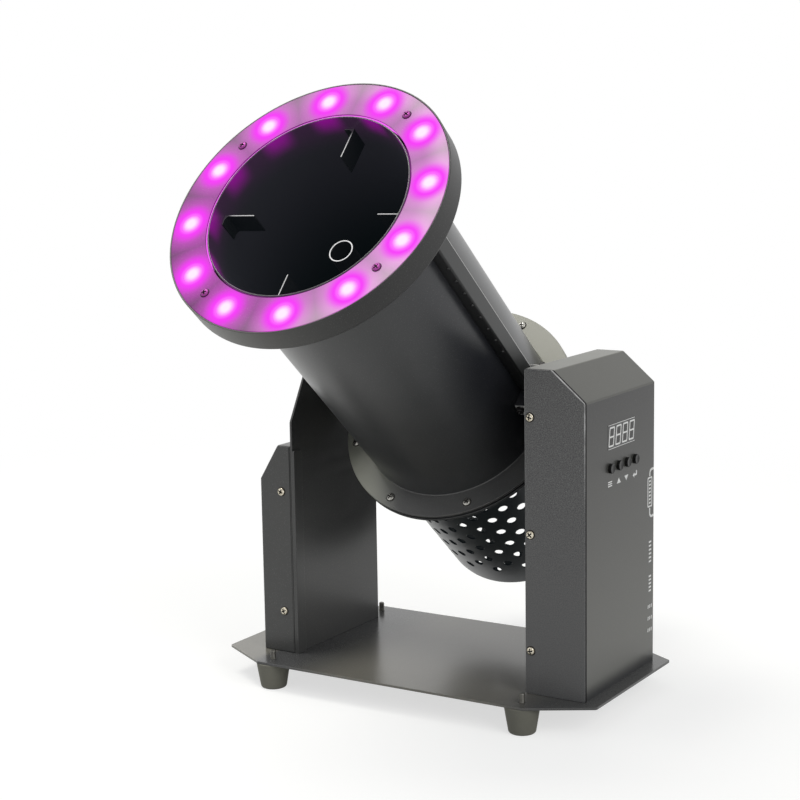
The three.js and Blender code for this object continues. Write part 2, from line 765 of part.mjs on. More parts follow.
// Buttons: a round cap through the outer face, held by a collar behind it
const buttonInner = displayBoardFront + switchHeight + buttonTravel + gap;
const collarOuter = boxInnerFace - buttonCollarPlay;
const buttonProfile = [
  [0, buttonInner],
  [buttonRadius, buttonInner],
  [buttonRadius, collarOuter - buttonCollarThickness],
  [buttonCollarRadius, collarOuter - buttonCollarThickness],
  [buttonCollarRadius, collarOuter],
  [buttonRadius, collarOuter],
  [buttonRadius, boxOuter + buttonProud - buttonTravel],
  [buttonRadius - buttonTravel, boxOuter + buttonProud],
  [0, boxOuter + buttonProud],
];
buttonPlaces.forEach((y, index) => {
  const button = place(deck, `button_${index + 1}`, turned(buttonProfile, smallSides).rotateY(Math.PI / 2), plastic);
  button.position.set(0, y, buttonZ);
});

// Main board: on four standoffs from the web, with a relay, a chip, two capacitors and a terminal row
const mainBack = rightWebOuter + mainBoardStand;
const mainFront = mainBack + boardThickness;
const mainBoardHeight = tiltMotorZ - bracketHalfHeight - mainBoardHeadroom - mainBoardLift;
const mainBoardY = mainBoardWidth / 2 + mainBoardInset - armHalfDepth;
const mainZ = mainBoardLift + mainBoardHeight / 2;
const mainSheet = sheetX(rectangle(mainBoardY, mainZ, mainBoardWidth, mainBoardHeight), mainBack, mainFront);
const mainMiddle = (mainBack + mainFront) / 2;
const quarterY = mainBoardWidth / 4;
const quarterZ = mainBoardHeight / 4;
const relayOutline = rectangle(mainBoardY - quarterY, mainZ - quarterZ, relayWidth, relayHeight);
const relay = sheetX(relayOutline, mainMiddle, mainFront + relayDepth);
const chip = sheetX(rectangle(mainBoardY, mainZ, chipWidth, chipHeight), mainMiddle, mainFront + chipDepth);
const capacitors = [-1, 1].map((side) => {
  const y = mainBoardY + quarterY + side * (capacitorRadius + gap);
  return rodX(capacitorRadius, mainMiddle, mainFront + capacitorLength, y, mainZ - quarterZ, smallSides);
});
const boardTerminalZ = mainBoardLift + mainBoardHeight - boardTerminalHeight;
const boardTerminals = sheetX(
  rectangle(mainBoardY, boardTerminalZ, boardTerminalWidth, boardTerminalHeight),
  mainMiddle,
  mainFront + boardTerminalHeight,
);
const mainStandoffY = mainBoardWidth / 2 - standoffInset;
const mainStandoffZ = mainBoardHeight / 2 - standoffInset;
const mainStandoffs = [[-1, -1], [1, -1], [1, 1], [-1, 1]].map(([sideY, sideZ]) =>
  rodX(
    standoffRadius,
    rightWebOuter + gap,
    mainMiddle,
    mainBoardY + sideY * mainStandoffY,
    mainZ + sideZ * mainStandoffZ,
    smallSides,
  ),
);
place(deck, "main_board", join(mainSheet, relay, chip, ...capacitors, boardTerminals, ...mainStandoffs), circuit);

// Mains sockets: a flange on the rear face, a body through it, and a recess with three blades or a flush core
const rearFace = armHalfDepth;
const socketFront = rearFace + gap + socketFlangeThickness;
const [socketLeftX, socketRightX] = socketColumnX;
const mainsFlangeWidth = socketPitch - socketSpacing;
const signalFlangeWidth = mainsFlangeWidth - signalFlangeTrim;

function mainsBody(x) {
  const flangeOutline = rounded(rectangle(x, mainsZ, mainsFlangeWidth, mainsFlangeHeight), socketCornerRadius);
  const flange = sheetY(flangeOutline, rearFace + gap, socketFront);
  const bodyOutline = rectangle(x, mainsZ, mainsBodyWidth, mainsBodyHeight);
  const behind = sheetY(bodyOutline, rearFace - mainsBodyDepth, socketFront);
  return join(flange, behind);
}

function mainsSlots(x, y0, y1) {
  const places = [[mainsPinOffset, mainsPinSpread], [mainsPinOffset, -mainsPinSpread], [-mainsPinOffset, 0]];
  return places.map(([aside, up]) =>
    sheetY(rectangle(x + aside, mainsZ + up, mainsPinWidth, mainsPinThickness), y0, y1),
  );
}

const recessFloor = socketFront - mainsRecessDepth;
const mainsRecess = (x, shrink) =>
  rectangle(x, mainsZ, mainsRecessWidth - 2 * shrink, mainsRecessHeight - 2 * shrink);
const inletRecess = sheetY(mainsRecess(socketLeftX, 0), recessFloor, socketFront + overrun);
const inletPins = mainsSlots(socketLeftX, recessFloor - overrun, socketFront - mainsPinSetback);
place(deck, "power_inlet", join(cut(mainsBody(socketLeftX), inletRecess), ...inletPins), plastic);
const outletGroove = sheetY(mainsRecess(socketRightX, 0), recessFloor, socketFront + overrun);
const outletCore = sheetY(mainsRecess(socketRightX, mainsCoreWall), recessFloor - overrun, socketFront);
const outletSlots = mainsSlots(socketRightX, recessFloor, socketFront + overrun);
const outletBody = join(cut(mainsBody(socketRightX), outletGroove), outletCore);
place(deck, "power_outlet", cut(outletBody, ...outletSlots), plastic);

// Signal sockets: a square flange and a round body, with three pins in a recess or three holes in a core
function signalBody(x) {
  const flangeOutline = rounded(rectangle(x, signalZ, signalFlangeWidth, signalFlangeHeight), socketCornerRadius);
  const flange = sheetY(flangeOutline, rearFace + gap, socketFront);
  return join(flange, rodY(signalBodyRadius, rearFace - signalBodyDepth, socketFront, x, signalZ, shaftSides));
}

function signalPins(x, radius, y0, y1) {
  return [90, 210, 330].map((angle) => {
    const aside = signalPinCircle * Math.cos(radians(angle));
    const up = signalPinCircle * Math.sin(radians(angle));
    return rodY(radius, y0, y1, x + aside, signalZ + up, smallSides);
  });
}

const signalFloor = socketFront - signalRecessDepth;
const signalRecess = (x) => rodY(signalRecessRadius, signalFloor, socketFront + overrun, x, signalZ, shaftSides);
const signalInPins = signalPins(socketLeftX, signalPinRadius, signalFloor - overrun, socketFront - signalPinSetback);
const signalInBody = cut(signalBody(socketLeftX), signalRecess(socketLeftX));
place(deck, "signal_input", join(signalInBody, ...signalInPins), nickel);
const signalCore = rodY(signalCoreRadius, signalFloor - overrun, socketFront, socketRightX, signalZ, shaftSides);
const signalHoles = signalPins(socketRightX, signalHoleRadius, socketFront - signalHoleDepth, socketFront + overrun);
const signalOutBody = join(cut(signalBody(socketRightX), signalRecess(socketRightX)), signalCore);
place(deck, "signal_output", cut(signalOutBody, ...signalHoles), nickel);

// Fuse holder: a round body through the rear face with a screw cap outside
const fuseBodySpan = [rearFace - fuseBodyDepth, rearFace + fuseCapLength / 2];
const fuseBody = rodY(fuseBodyRadius, ...fuseBodySpan, fuseX, fuseZ, smallSides);
const fuseCap = rodY(fuseCapRadius, rearFace + gap, rearFace + fuseCapLength, fuseX, fuseZ, smallSides);
place(deck, "fuse_holder", join(fuseBody, fuseCap), plastic);

// Bearings: an oval flange on each web's outer face, with a hub that the trunnion shaft turns in
function bearing(x0, x1, hubEnd) {
  const contact = Math.acos((bearingHubRadius - bearingEarRadius) / bearingEarDistance);
  const outline = new THREE.Shape();
  outline.absarc(bearingEarDistance, 0, bearingEarRadius, -contact, contact, false);
  outline.absarc(0, 0, bearingHubRadius, contact, Math.PI - contact, false);
  outline.absarc(-bearingEarDistance, 0, bearingEarRadius, Math.PI - contact, Math.PI + contact, false);
  outline.absarc(0, 0, bearingHubRadius, Math.PI + contact, 2 * Math.PI - contact, false);
  const flange = sheetX(outline, Math.min(x0, x1), Math.max(x0, x1));
  const hub = rodX(bearingHubRadius - gap, Math.min(x0, hubEnd), Math.max(x0, hubEnd), 0, 0, shaftSides);
  const reach = Math.abs(hubEnd) + overrun;
  const bore = rodX(trunnionShaftRadius + gap, -reach, reach, 0, 0, shaftSides);
  return cut(join(flange, hub), bore).translate(0, 0, pivotHeight);
}

const leftBearingFace = leftWebOuter - gap;
const rightBearingFace = rightWebOuter + gap;
const tiltPulleyStart = rightBearingFace + bearingLength + tiltPulleyGap;
const leftEarFace = leftBearingFace - bearingFlangeThickness;
const leftBearing = bearing(leftBearingFace, leftEarFace, leftBearingFace - bearingLength);
const rightEarFace = rightBearingFace + bearingFlangeThickness;
const rightBearing = bearing(rightBearingFace, rightEarFace, rightBearingFace + bearingLength);
place(deck, "left_bearing", leftBearing, steel);
place(deck, "right_bearing", rightBearing, steel);

// Tilt motor, its bracket on the web, and its pulley on the motor shaft
const pulleyEnd = tiltPulleyStart + pulleyWidth;
const bracketInner = pulleyEnd + bracketSetback;
const bracketOuter = bracketInner + bracketSheet;
const bracketBack = rightWebOuter + gap;
const bracketEnd = bracketHalfDepth + bracketFootWidth;
const bracketOutline = [
  point(bracketBack, -bracketEnd),
  point(bracketBack + bracketSheet, -bracketEnd),
  point(bracketBack + bracketSheet, -bracketHalfDepth),
  point(bracketOuter, -bracketHalfDepth),
  point(bracketOuter, bracketHalfDepth),
  point(bracketBack + bracketSheet, bracketHalfDepth),
  point(bracketBack + bracketSheet, bracketEnd),
  point(bracketBack, bracketEnd),
  point(bracketBack, bracketHalfDepth - bracketSheet),
  point(bracketInner, bracketHalfDepth - bracketSheet),
  point(bracketInner, bracketSheet - bracketHalfDepth),
  point(bracketBack, bracketSheet - bracketHalfDepth),
];
const bracketBody = sheetZ(bracketOutline, tiltMotorZ - bracketHalfHeight, tiltMotorZ + bracketHalfHeight);
const bracketTool = [bracketInner - overrun, bracketOuter + overrun];
const pilotHole = rodX(tiltPilotRadius + gap, ...bracketTool, 0, tiltMotorZ, shaftSides);
place(deck, "motor_bracket", cut(bracketBody, pilotHole), steel);

const motorFace = bracketOuter + gap;
const motorEnd = boxInnerFace - tiltMotorClearance;
const motorHalf = tiltMotorSize / 2;
const motorOutline = [
  point(-motorHalf + tiltMotorCorner, -motorHalf),
  point(motorHalf - tiltMotorCorner, -motorHalf),
  point(motorHalf, -motorHalf + tiltMotorCorner),
  point(motorHalf, motorHalf - tiltMotorCorner),
  point(motorHalf - tiltMotorCorner, motorHalf),
  point(-motorHalf + tiltMotorCorner, motorHalf),
  point(-motorHalf, motorHalf - tiltMotorCorner),
  point(-motorHalf, -motorHalf + tiltMotorCorner),
];
const motorBlock = sheetX(motorOutline, motorFace, motorEnd).translate(0, 0, tiltMotorZ);
const pilot = rodX(tiltPilotRadius, motorFace - tiltPilotHeight, motorFace + overrun, 0, tiltMotorZ, shaftSides);
const shaftSocketEnd = motorFace + tiltShaftEngagement + gap;
const shaftSocket = rodX(tiltShaftRadius + gap, bracketInner - overrun, shaftSocketEnd, 0, tiltMotorZ, smallSides);
place(deck, "tilt_motor", cut(join(motorBlock, pilot), shaftSocket), innerCoat);

// A flanged belt pulley, its axis along X from x = 0
function pulley(radius, bore, sides) {
  const rim = radius + pulleyRimHeight;
  const profile = [
    [bore, 0],
    [rim, 0],
    [rim, pulleyRimThickness],
    [radius, pulleyRimThickness],
    [radius, pulleyWidth - pulleyRimThickness],
    [rim, pulleyWidth - pulleyRimThickness],
    [rim, pulleyWidth],
    [bore, pulleyWidth],
  ];
  return turned(profile, sides).rotateY(Math.PI / 2);
}

const motorShaft = rodX(
  tiltShaftRadius,
  tiltPulleyStart - shaftEndStand,
  motorFace + tiltShaftEngagement,
  0,
  0,
  smallSides,
);
const motorPulleyBody = join(pulley(motorPulleyRadius, 0, shaftSides).translate(tiltPulleyStart, 0, 0), motorShaft);
place(deck, "motor_pulley", motorPulleyBody, aluminium).position.z = tiltMotorZ;

// Tilt belt: one loop round both pulleys, straight where it leaves them
function beltLoop(path, margin) {
  const large = tiltPulleyRadius + margin;
  const small = motorPulleyRadius + margin;
  const lean = Math.asin((large - small) / (pivotHeight - tiltMotorZ));
  path.absarc(0, pivotHeight, large, -lean, Math.PI + lean, false);
  path.absarc(0, tiltMotorZ, small, Math.PI + lean, 2 * Math.PI - lean, false);
  return path;
}

const beltShape = beltLoop(new THREE.Shape(), gap + beltThickness);
beltShape.holes.push(beltLoop(new THREE.Path(), gap));
const beltStart = tiltPulleyStart + pulleyRimThickness + gap;
const beltWidth = pulleyWidth - 2 * pulleyRimThickness - 2 * gap;
const beltSettings = { depth: beltWidth, bevelEnabled: false, curveSegments: beltArcSteps };
const beltBody = new THREE.ExtrudeGeometry(beltShape, beltSettings).translate(0, 0, beltStart);
place(deck, "tilt_belt", beltBody.applyMatrix4(seenAlongX), beltRubber);

// Barrel tube and the flange welded to its rear end
const tubeInner = tubeRadius - tubeWall;
const flangeRadius = tubeRadius + flangeReach;
place(barrel, "barrel_tube", ringOf(tubeInner, tubeRadius, flangeBack, mouthFront - gap, barrelSides), coat);
place(barrel, "barrel_flange", ringOf(tubeRadius + gap, flangeRadius, flangeBack, flangeFront, barrelSides), coat);

// Motor plate: the bulkhead clamped between the two flanges, with air intakes and a hole for the motor's shaft
const motorPlateFront = flangeBack - gap;
const motorPlateBack = motorPlateFront - motorPlateThickness;
const plateTool = [motorPlateBack - overrun, motorPlateFront + overrun];
const housingRadius = tubeRadius - housingInset;
const intakeCircle = housingRadius - housingWall - intakeHoleRadius;
const intakeHole = rod(intakeHoleRadius, ...plateTool, smallSides).translate(intakeCircle, 0, 0);
const motorPlateDisc = rod(flangeRadius - motorPlateInset, motorPlateBack, motorPlateFront, barrelSides);
const motorPlateHole = rod(motorPlateHoleRadius, ...plateTool, smallSides);
const motorPlateHoles = [motorPlateHole, ...around(intakeHole, intakeCount, 0)];
place(barrel, "motor_plate", cut(motorPlateDisc, ...motorPlateHoles), innerCoat);

// Ring housing: an annular pan round the mouth with four bosses that carry the LED board and the face
const ringBack = mouthFront - ringDepth;
const ringRadius = tubeRadius + ringReach;
const ledCircle = ringRadius - ledInset;
const ringWallInner = ringRadius - ringSheet;
const faceBack = mouthFront - ringSheet;
const housingProfile = [
  [tubeRadius + gap, ringBack],
  [ringRadius, ringBack],
  [ringRadius, mouthFront],
  [ringWallInner, mouthFront],
  [ringWallInner, ringBack + ringSheet],
  [tubeRadius + gap, ringBack + ringSheet],
];
const shoulderTop = ringBack + ringSheet + ringShoulderHeight;
const bossShoulder = rod(ringBossShoulder, ringBack + ringSheet / 2, shoulderTop, smallSides);
const bossPost = rod(ringBossRadius, ringBack + ringSheet / 2, faceBack - gap, smallSides);
const ringBoss = join(bossShoulder, bossPost).translate(ledCircle, 0, 0);
const ringBosses = around(ringBoss, ringBossCount, ringBossAngle);
place(barrel, "ring_housing", join(turned(housingProfile, barrelSides), ...ringBosses), coat);

// Ring face: a flat annular plate inside the housing's rim, with a hole for each lens
const faceSheet = ringOf(tubeRadius + tubeWall, ringWallInner - gap, faceBack, mouthFront, barrelSides);
const lensHole = rod(lensRadius + 2 * gap, faceBack - overrun, mouthFront + overrun, smallSides);
const lensHoles = around(lensHole.translate(ledCircle, 0, 0), ledCount, ledAngle);
place(barrel, "ring_face", cut(faceSheet, ...lensHoles), coat);

// LED board: an annular board seated on the bosses' shoulders, with twelve emitters
const boardBack = shoulderTop + gap;
const boardFront = boardBack + boardThickness;
const boardInner = tubeRadius + gap + ledBoardEdge;
const boardOuter = ringWallInner - ledBoardEdge;
const boardRing = ringOf(boardInner, boardOuter, boardBack, boardFront, barrelSides);
const chipBlock = block(
  ledCircle - ledChipSize / 2,
  ledCircle + ledChipSize / 2,
  -ledChipSize / 2,
  ledChipSize / 2,
  (boardBack + boardFront) / 2,
  boardFront + ledChipHeight,
);
const ledChips = around(chipBlock, ledCount, ledAngle);
const bossHole = rod(ringBossRadius + gap, boardBack - overrun, mouthFront, smallSides).translate(ledCircle, 0, 0);
const bossHoles = around(bossHole, ringBossCount, ringBossAngle);
place(barrel, "led_board", cut(join(boardRing, ...ledChips), ...bossHoles), circuit);

// LED lenses: one clear moulding, a ring with a flared lens over each emitter
const lensPlateBack = boardFront + ledChipHeight + gap;
const lensPlateFront = lensPlateBack + lensPlateThickness;
const lensRing = ringOf(boardInner + gap, boardOuter - gap, lensPlateBack, lensPlateFront, barrelSides);
const lensProfile = [
  [0, (lensPlateBack + lensPlateFront) / 2],
  [lensFootRadius, (lensPlateBack + lensPlateFront) / 2],
  [lensRadius, mouthFront - ringSheet - gap],
  [lensRadius, mouthFront - gap],
  [0, mouthFront - gap],
];
const lens = turned(lensProfile, smallSides).translate(ledCircle, 0, 0);
const lenses = around(lens, ledCount, ledAngle);
place(barrel, "led_lenses", cut(join(lensRing, ...lenses), ...bossHoles), lensGlow);

// Inner tabs: four L-shaped sheets on the tube's inner wall just behind the mouth
const tabFront = mouthFront - tabSetback;
const tabBack = tabFront - tabLength;
const tabInnerRadius = tubeInner - tabReach;
const tabLeg = block(tabInnerRadius, tubeRadius, 0, tabSheet, tabBack, tabFront);
const tabFootInner = tubeInner - gap - tabSheet;
const tabFoot = block(tabFootInner, tubeRadius, 0, tabFootWidth, tabBack, tabFront);
const wallLimit = rod(tubeInner - gap, tabBack - overrun, tabFront + overrun, barrelSides);
const tabBody = join(tabLeg, tabFoot);
const quarter = 360 / tabCount;
for (let index = 0; index < tabCount; index += 1) {
  const turnedTab = tabBody.clone().rotateZ(radians(index * quarter));
  place(barrel, `inner_tab_${index + 1}`, within(turnedTab, wallLimit), innerCoat);
}

// Blower housing: a cup on the motor plate whose front narrows to a spigot for the air tube
const spigotRadius = airTubeRadius - airTubeWall - gap;
const spigotBore = spigotRadius - tubeWall;
const cupInner = housingRadius - housingWall;
const housingShoulder = flangeBack + housingLength;
const housingFront = housingShoulder + housingConeLength;
const cupProfile = [
  [cupInner, flangeBack],
  [housingRadius, flangeBack],
  [housingRadius, housingShoulder],
  [airTubeRadius + housingWall, housingFront],
  [spigotRadius, housingFront],
  [spigotRadius, housingFront + spigotLength],
  [spigotBore, housingFront + spigotLength],
  [spigotBore, housingFront - housingWall],
  [cupInner, housingShoulder - housingWall],
];
place(barrel, "blower_housing", turned(cupProfile, innerSides), plastic);
const airTubeSpan = [housingFront + gap, mouthFront - airTubeSetback];
const airTube = ringOf(airTubeRadius - airTubeWall, airTubeRadius, ...airTubeSpan, innerSides);
place(barrel, "air_tube", airTube, innerCoat);

// Blower motor: a can behind the motor plate, with its shaft through the plate
const canFront = motorPlateBack - gap;
const canBack = canFront - motorLength;
const motorRadius = intakeCircle - intakeHoleRadius - intakeEdge;
const impellerStart = flangeBack + impellerLift;
const blowerProfile = [
  [0, canBack],
  [motorRadius - motorEdge, canBack],
  [motorRadius, canBack + motorEdge],
  [motorRadius, canFront],
  [motorShaftRadius, canFront],
  [motorShaftRadius, impellerStart + hubLength + shaftEndStand],
  [0, impellerStart + hubLength + shaftEndStand],
];
place(barrel, "blower_motor", turned(blowerProfile, shaftSides), steel);

// Impeller: a plate and hub on the motor's shaft, with backward-leaning vanes
const impellerRadius = cupInner - impellerClearance;
const impellerDisc = rod(impellerRadius, impellerStart, impellerStart + impellerPlateThickness, innerSides);
const impellerHub = rod(hubRadius, impellerStart, impellerStart + hubLength, shaftSides);
const vaneReach = impellerRadius - hubRadius;
const vaneRoot = impellerStart + impellerPlateThickness / 2;
const vaneTop = impellerStart + impellerPlateThickness + vaneHeight;
const vaneBlock = block(0, vaneReach, -vaneThickness / 2, vaneThickness / 2, vaneRoot, vaneTop);
const vane = vaneBlock.rotateZ(radians(vaneAngle)).translate(hubRadius - vaneThickness, 0, 0);
const impellerLimit = rod(impellerRadius, impellerStart, vaneTop + hubLength, innerSides);
const shaftBore = rod(motorShaftRadius + gap, impellerStart - overrun, vaneTop + hubLength, shaftSides);
const impellerBody = within(join(impellerDisc, impellerHub, ...around(vane, vaneCount, 0)), impellerLimit);
place(barrel, "impeller", cut(impellerBody, shaftBore), aluminium);

// Motor guard: a perforated can behind the guard flange, its rear end rolled in round an open mouth
const guardPitch = 360 / guardColumns;
const guardTurn = radians(guardColumnAngle - guardPitch / 2);
const guardRadius = tubeRadius - guardStep;
const guardFlangeFront = motorPlateBack - gap;
const guardFlangeBack = guardFlangeFront - flangeThickness;
const guardEnd = guardFlangeBack - guardLength;
const guardFlange = ringOf(guardRadius + gap, flangeRadius, guardFlangeBack, guardFlangeFront, guardColumns);
place(barrel, "guard_flange", guardFlange.rotateZ(guardTurn), coat);

function guardCorner(radius) {
  const steps = 3;
  const centre = [guardRadius - guardEdge, guardEnd + guardEdge];
  return Array.from({ length: steps + 1 }, (_, index) => {
    const turn = (Math.PI / 2) * (index / steps);
    return [centre[0] + radius * Math.cos(turn), centre[1] - radius * Math.sin(turn)];
  });
}

const guardFront = guardFlangeFront - gap;
const guardMouthRadius = guardRadius - guardRimWidth;
const rowStart = guardFlangeBack - guardFirstRow;
const guardRowPitch = (rowStart - guardEnd - guardLastRow) / (guardRowCount - 1 / 2);
const guardProfile = [
  [guardRadius - guardWall, guardFront],
  ...guardCorner(guardEdge - guardWall),
  [guardMouthRadius, guardEnd + guardWall],
  [guardMouthRadius, guardEnd],
  ...guardCorner(guardEdge).reverse(),
  [guardRadius, guardFront],
];
const guardCan = turned(guardProfile, guardColumns).rotateZ(guardTurn);
const wallTool = rod(guardHoleRadius, guardRadius - guardEdge, guardRadius + overrun, guardHoleSides);
const wallHole = wallTool.rotateY(Math.PI / 2);
const guardHoles = [];
for (let column = 0; column < guardColumns; column += 1) {
  const rowShift = column % 2 ? guardRowPitch / 2 : 0;
  const turn = radians(guardColumnAngle + column * guardPitch);
  for (let row = 0; row < guardRowCount; row += 1) {
    const s = rowStart - rowShift - row * guardRowPitch;
    guardHoles.push(wallHole.clone().rotateZ(turn).translate(0, 0, s));
  }
}
const endHole = rod(guardHoleRadius, guardEnd - overrun, guardEnd + guardWall + overrun, guardHoleSides);
endHole.translate(guardRadius - guardEndHoleInset, 0, 0);
const endHoles = around(endHole, guardEndHoleCount, guardColumnAngle);
place(barrel, "motor_guard", cut(guardCan, ...guardHoles, ...endHoles), coat);

// Cable duct: a channel along the barrel's right side from the trunnion bracket to the ring
const ductBack = saddleHalfLength + gap;
const ductFront = ringBack - gap;
const barrelClear = rod(tubeRadius + gap, -mouthFront, mouthFront, barrelSides);
const ductOuter = block(0, ductOuterX, ductLow, ductHigh, ductBack, ductFront);
const ductInner = block(
  0,
  ductOuterX - ductSheet,
  ductLow + ductSheet,
  ductHigh - ductSheet,
  ductBack - overrun,
  ductFront + overrun,
);
place(barrel, "cable_duct", cut(ductOuter, ductInner, barrelClear), coat);

// Trunnions: a channel-shaped saddle on the barrel with a hollow shaft and a collar on its outer wall
function trunnion(shaftEnd) {
  const half = saddleHalfLength;
  const outer = block(0, saddleOuterX, -saddleHalfWidth, saddleHalfWidth, -half, half);
  const hollow = block(
    0,
    saddleOuterX - saddleSheet,
    -saddleHalfWidth - overrun,
    saddleHalfWidth + overrun,
    saddleSheet - half,
    half - saddleSheet,
  );
  const shaftStart = saddleOuterX - 2 * saddleSheet;
  const shaft = rodX(trunnionShaftRadius, shaftStart, shaftEnd, 0, 0, shaftSides);
  const collar = rodX(collarRadius, saddleOuterX - saddleSheet, saddleOuterX + collarLength, 0, 0, shaftSides);
  const bore = rodX(trunnionBoreRadius, shaftStart - overrun, shaftEnd + overrun, 0, 0, shaftSides);
  const ductMiddle = (ductLow + ductHigh) / 2;
  const cableHole = rod(ductCableRadius, 0, half + overrun, smallSides);
  cableHole.translate((tubeRadius + ductOuterX) / 2, ductMiddle, 0);
  return cut(join(cut(outer, hollow, barrelClear), shaft, collar), bore, cableHole);
}

place(barrel, "right_trunnion", trunnion(pulleyEnd + shaftEndStand), coat);
const leftShaftEnd = leftShaftStand + bearingLength - leftBearingFace;
place(barrel, "left_trunnion", trunnion(leftShaftEnd).rotateZ(Math.PI), coat);
const tiltPulley = pulley(tiltPulleyRadius, trunnionShaftRadius + gap, shaftSides + smallSides);
place(barrel, "tilt_pulley", tiltPulley, aluminium).position.x = tiltPulleyStart;

// The machine stands on the floor with the origin under the middle of its length and depth
const bounds = new THREE.Box3().setFromObject(machine, true);
const middle = bounds.getCenter(new THREE.Vector3());
machine.position.set(-middle.x, -middle.y, -bounds.min.z);

export default machine;
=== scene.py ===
import json
import math

import bmesh
import bpy
from mathutils import Matrix, Vector


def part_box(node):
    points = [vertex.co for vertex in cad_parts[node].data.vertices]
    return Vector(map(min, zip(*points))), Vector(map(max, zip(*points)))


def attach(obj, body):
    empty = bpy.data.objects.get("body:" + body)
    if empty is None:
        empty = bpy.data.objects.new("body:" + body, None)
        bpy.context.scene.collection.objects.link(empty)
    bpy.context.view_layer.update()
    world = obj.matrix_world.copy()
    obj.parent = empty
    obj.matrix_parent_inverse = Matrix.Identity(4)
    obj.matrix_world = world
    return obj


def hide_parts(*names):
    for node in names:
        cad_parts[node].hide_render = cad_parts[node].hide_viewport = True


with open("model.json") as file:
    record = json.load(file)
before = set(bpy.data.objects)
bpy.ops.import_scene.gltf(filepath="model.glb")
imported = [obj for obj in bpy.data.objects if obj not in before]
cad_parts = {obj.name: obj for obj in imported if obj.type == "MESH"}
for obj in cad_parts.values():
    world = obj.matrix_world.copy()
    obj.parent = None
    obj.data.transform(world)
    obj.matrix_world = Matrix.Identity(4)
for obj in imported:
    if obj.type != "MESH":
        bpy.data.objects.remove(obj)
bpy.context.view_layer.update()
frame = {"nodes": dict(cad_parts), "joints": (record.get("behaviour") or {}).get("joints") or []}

# Base plate: one steel sheet with its four corners cut off, drilled for the feet and for the leads.
# Powder coated dark grey, with the fine sandy grain of such a coat, and deburred before it was coated.
MM = 0.001
plate_length = 425
plate_depth = 240
plate_sheet = 2.5
plate_cut_x = 60
plate_cut_y = 35
plate_corner = 4
foot_x = 144
foot_y = 104
foot_hole = 3.3
lead_x = 153
lead_y = 55
lead_hole = 7
deburred = 0.4
crease = 50

low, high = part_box("base_plate")
deck = Matrix.Translation(Vector(((low.x + high.x) / 2, (low.y + high.y) / 2, high.z)) / MM)


def at(x, y, z):
    return Matrix.Translation((x, y, z))


def arc(x, y, radius, start, end, steps):
    """Points round a middle, from one angle in degrees to another."""
    turns = [math.radians(start + (end - start) * step / steps) for step in range(steps + 1)]
    return [(x + radius * math.cos(turn), y + radius * math.sin(turn)) for turn in turns]


def circle(x, y, radius, steps=40):
    return arc(x, y, radius, 0, 360, steps)[:-1]


def oblong(x0, y0, x1, y1):
    return [(x0, y0), (x1, y0), (x1, y1), (x0, y1)]


def eased(corners, radii, steps=5):
    """The same closed outline with its corners rounded, by one radius or by one for each corner."""
    if not isinstance(radii, (list, tuple)):
        radii = [radii] * len(corners)
    points = []
    for index, radius in enumerate(radii):
        here = Vector(corners[index])
        before = (Vector(corners[index - 1]) - here).normalized()
        after = (Vector(corners[(index + 1) % len(corners)]) - here).normalized()
        half = before.angle(after) / 2
        if not radius or half > math.radians(89):
            points.append(tuple(here))
            continue
        middle = here + (before + after).normalized() * (radius / math.sin(half))
        first = here + before * (radius / math.tan(half)) - middle
        last = here + after * (radius / math.tan(half)) - middle
        start = math.degrees(math.atan2(first.y, first.x))
        sweep = (math.degrees(math.atan2(last.y, last.x)) - start + 180) % 360 - 180
        points += arc(middle.x, middle.y, radius, start, start + sweep, steps)
    return points


def put(form, made, turn, tone=0):
    """Adds a shape to a piece's form, turned into its place, in the piece's first or second finish."""
    for face in made.faces:
        face.material_index = tone
    mesh = bpy.data.meshes.new("shape")
    made.to_mesh(mesh)
    made.free()
    mesh.transform(turn)
    form.from_mesh(mesh)
    bpy.data.meshes.remove(mesh)


def sheet(form, outline, holes, low, high, edge, turn=Matrix()):
    """A flat piece of an outline with holes, between two heights, with its edges rounded."""
    curve = bpy.data.curves.new("sheet", "CURVE")
    curve.dimensions = "2D"
    curve.fill_mode = "BOTH"
    curve.extrude = (high - low) / 2 - edge
    curve.bevel_depth = edge
    curve.bevel_resolution = 1
    curve.offset = -edge
    for ring in (outline, *holes):
        spline = curve.splines.new("POLY")
        spline.points.add(len(ring) - 1)
        for point, (x, y) in zip(spline.points, ring):
            point.co = (x, y, 0, 1)
        spline.use_cyclic_u = True
    holder = bpy.data.objects.new("sheet", curve)
    bpy.context.collection.objects.link(holder)
    flat = bpy.data.meshes.new_from_object(holder.evaluated_get(bpy.context.evaluated_depsgraph_get()))
    made = bmesh.new()
    made.from_mesh(flat)
    bmesh.ops.remove_doubles(made, verts=made.verts, dist=MM)
    bmesh.ops.recalc_face_normals(made, faces=made.faces)
    bpy.data.objects.remove(holder)
    bpy.data.curves.remove(curve)
    bpy.data.meshes.remove(flat)
    put(form, made, turn @ at(0, 0, (low + high) / 2))


def piece(name, form, stand, body, finish, slot, *nodes):
    """Makes an object of a form drawn in millimetres, in one finish or a pair, which stands for the nodes."""
    form.transform(Matrix.Scale(MM, 4) @ stand)
    mesh = bpy.data.meshes.new(name)
    form.to_mesh(mesh)
    form.free()
    mesh.shade_smooth()
    mesh.set_sharp_from_angle(angle=math.radians(crease))
    for layer in finish if isinstance(finish, tuple) else (finish,):
        mesh.materials.append(layer)
    made = bpy.data.objects.new(name, mesh)
    bpy.context.collection.objects.link(made)
    made.modifiers.new("even_shading", "WEIGHTED_NORMAL").keep_sharp = True
    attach(made, body)
    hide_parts(*nodes)
    return made


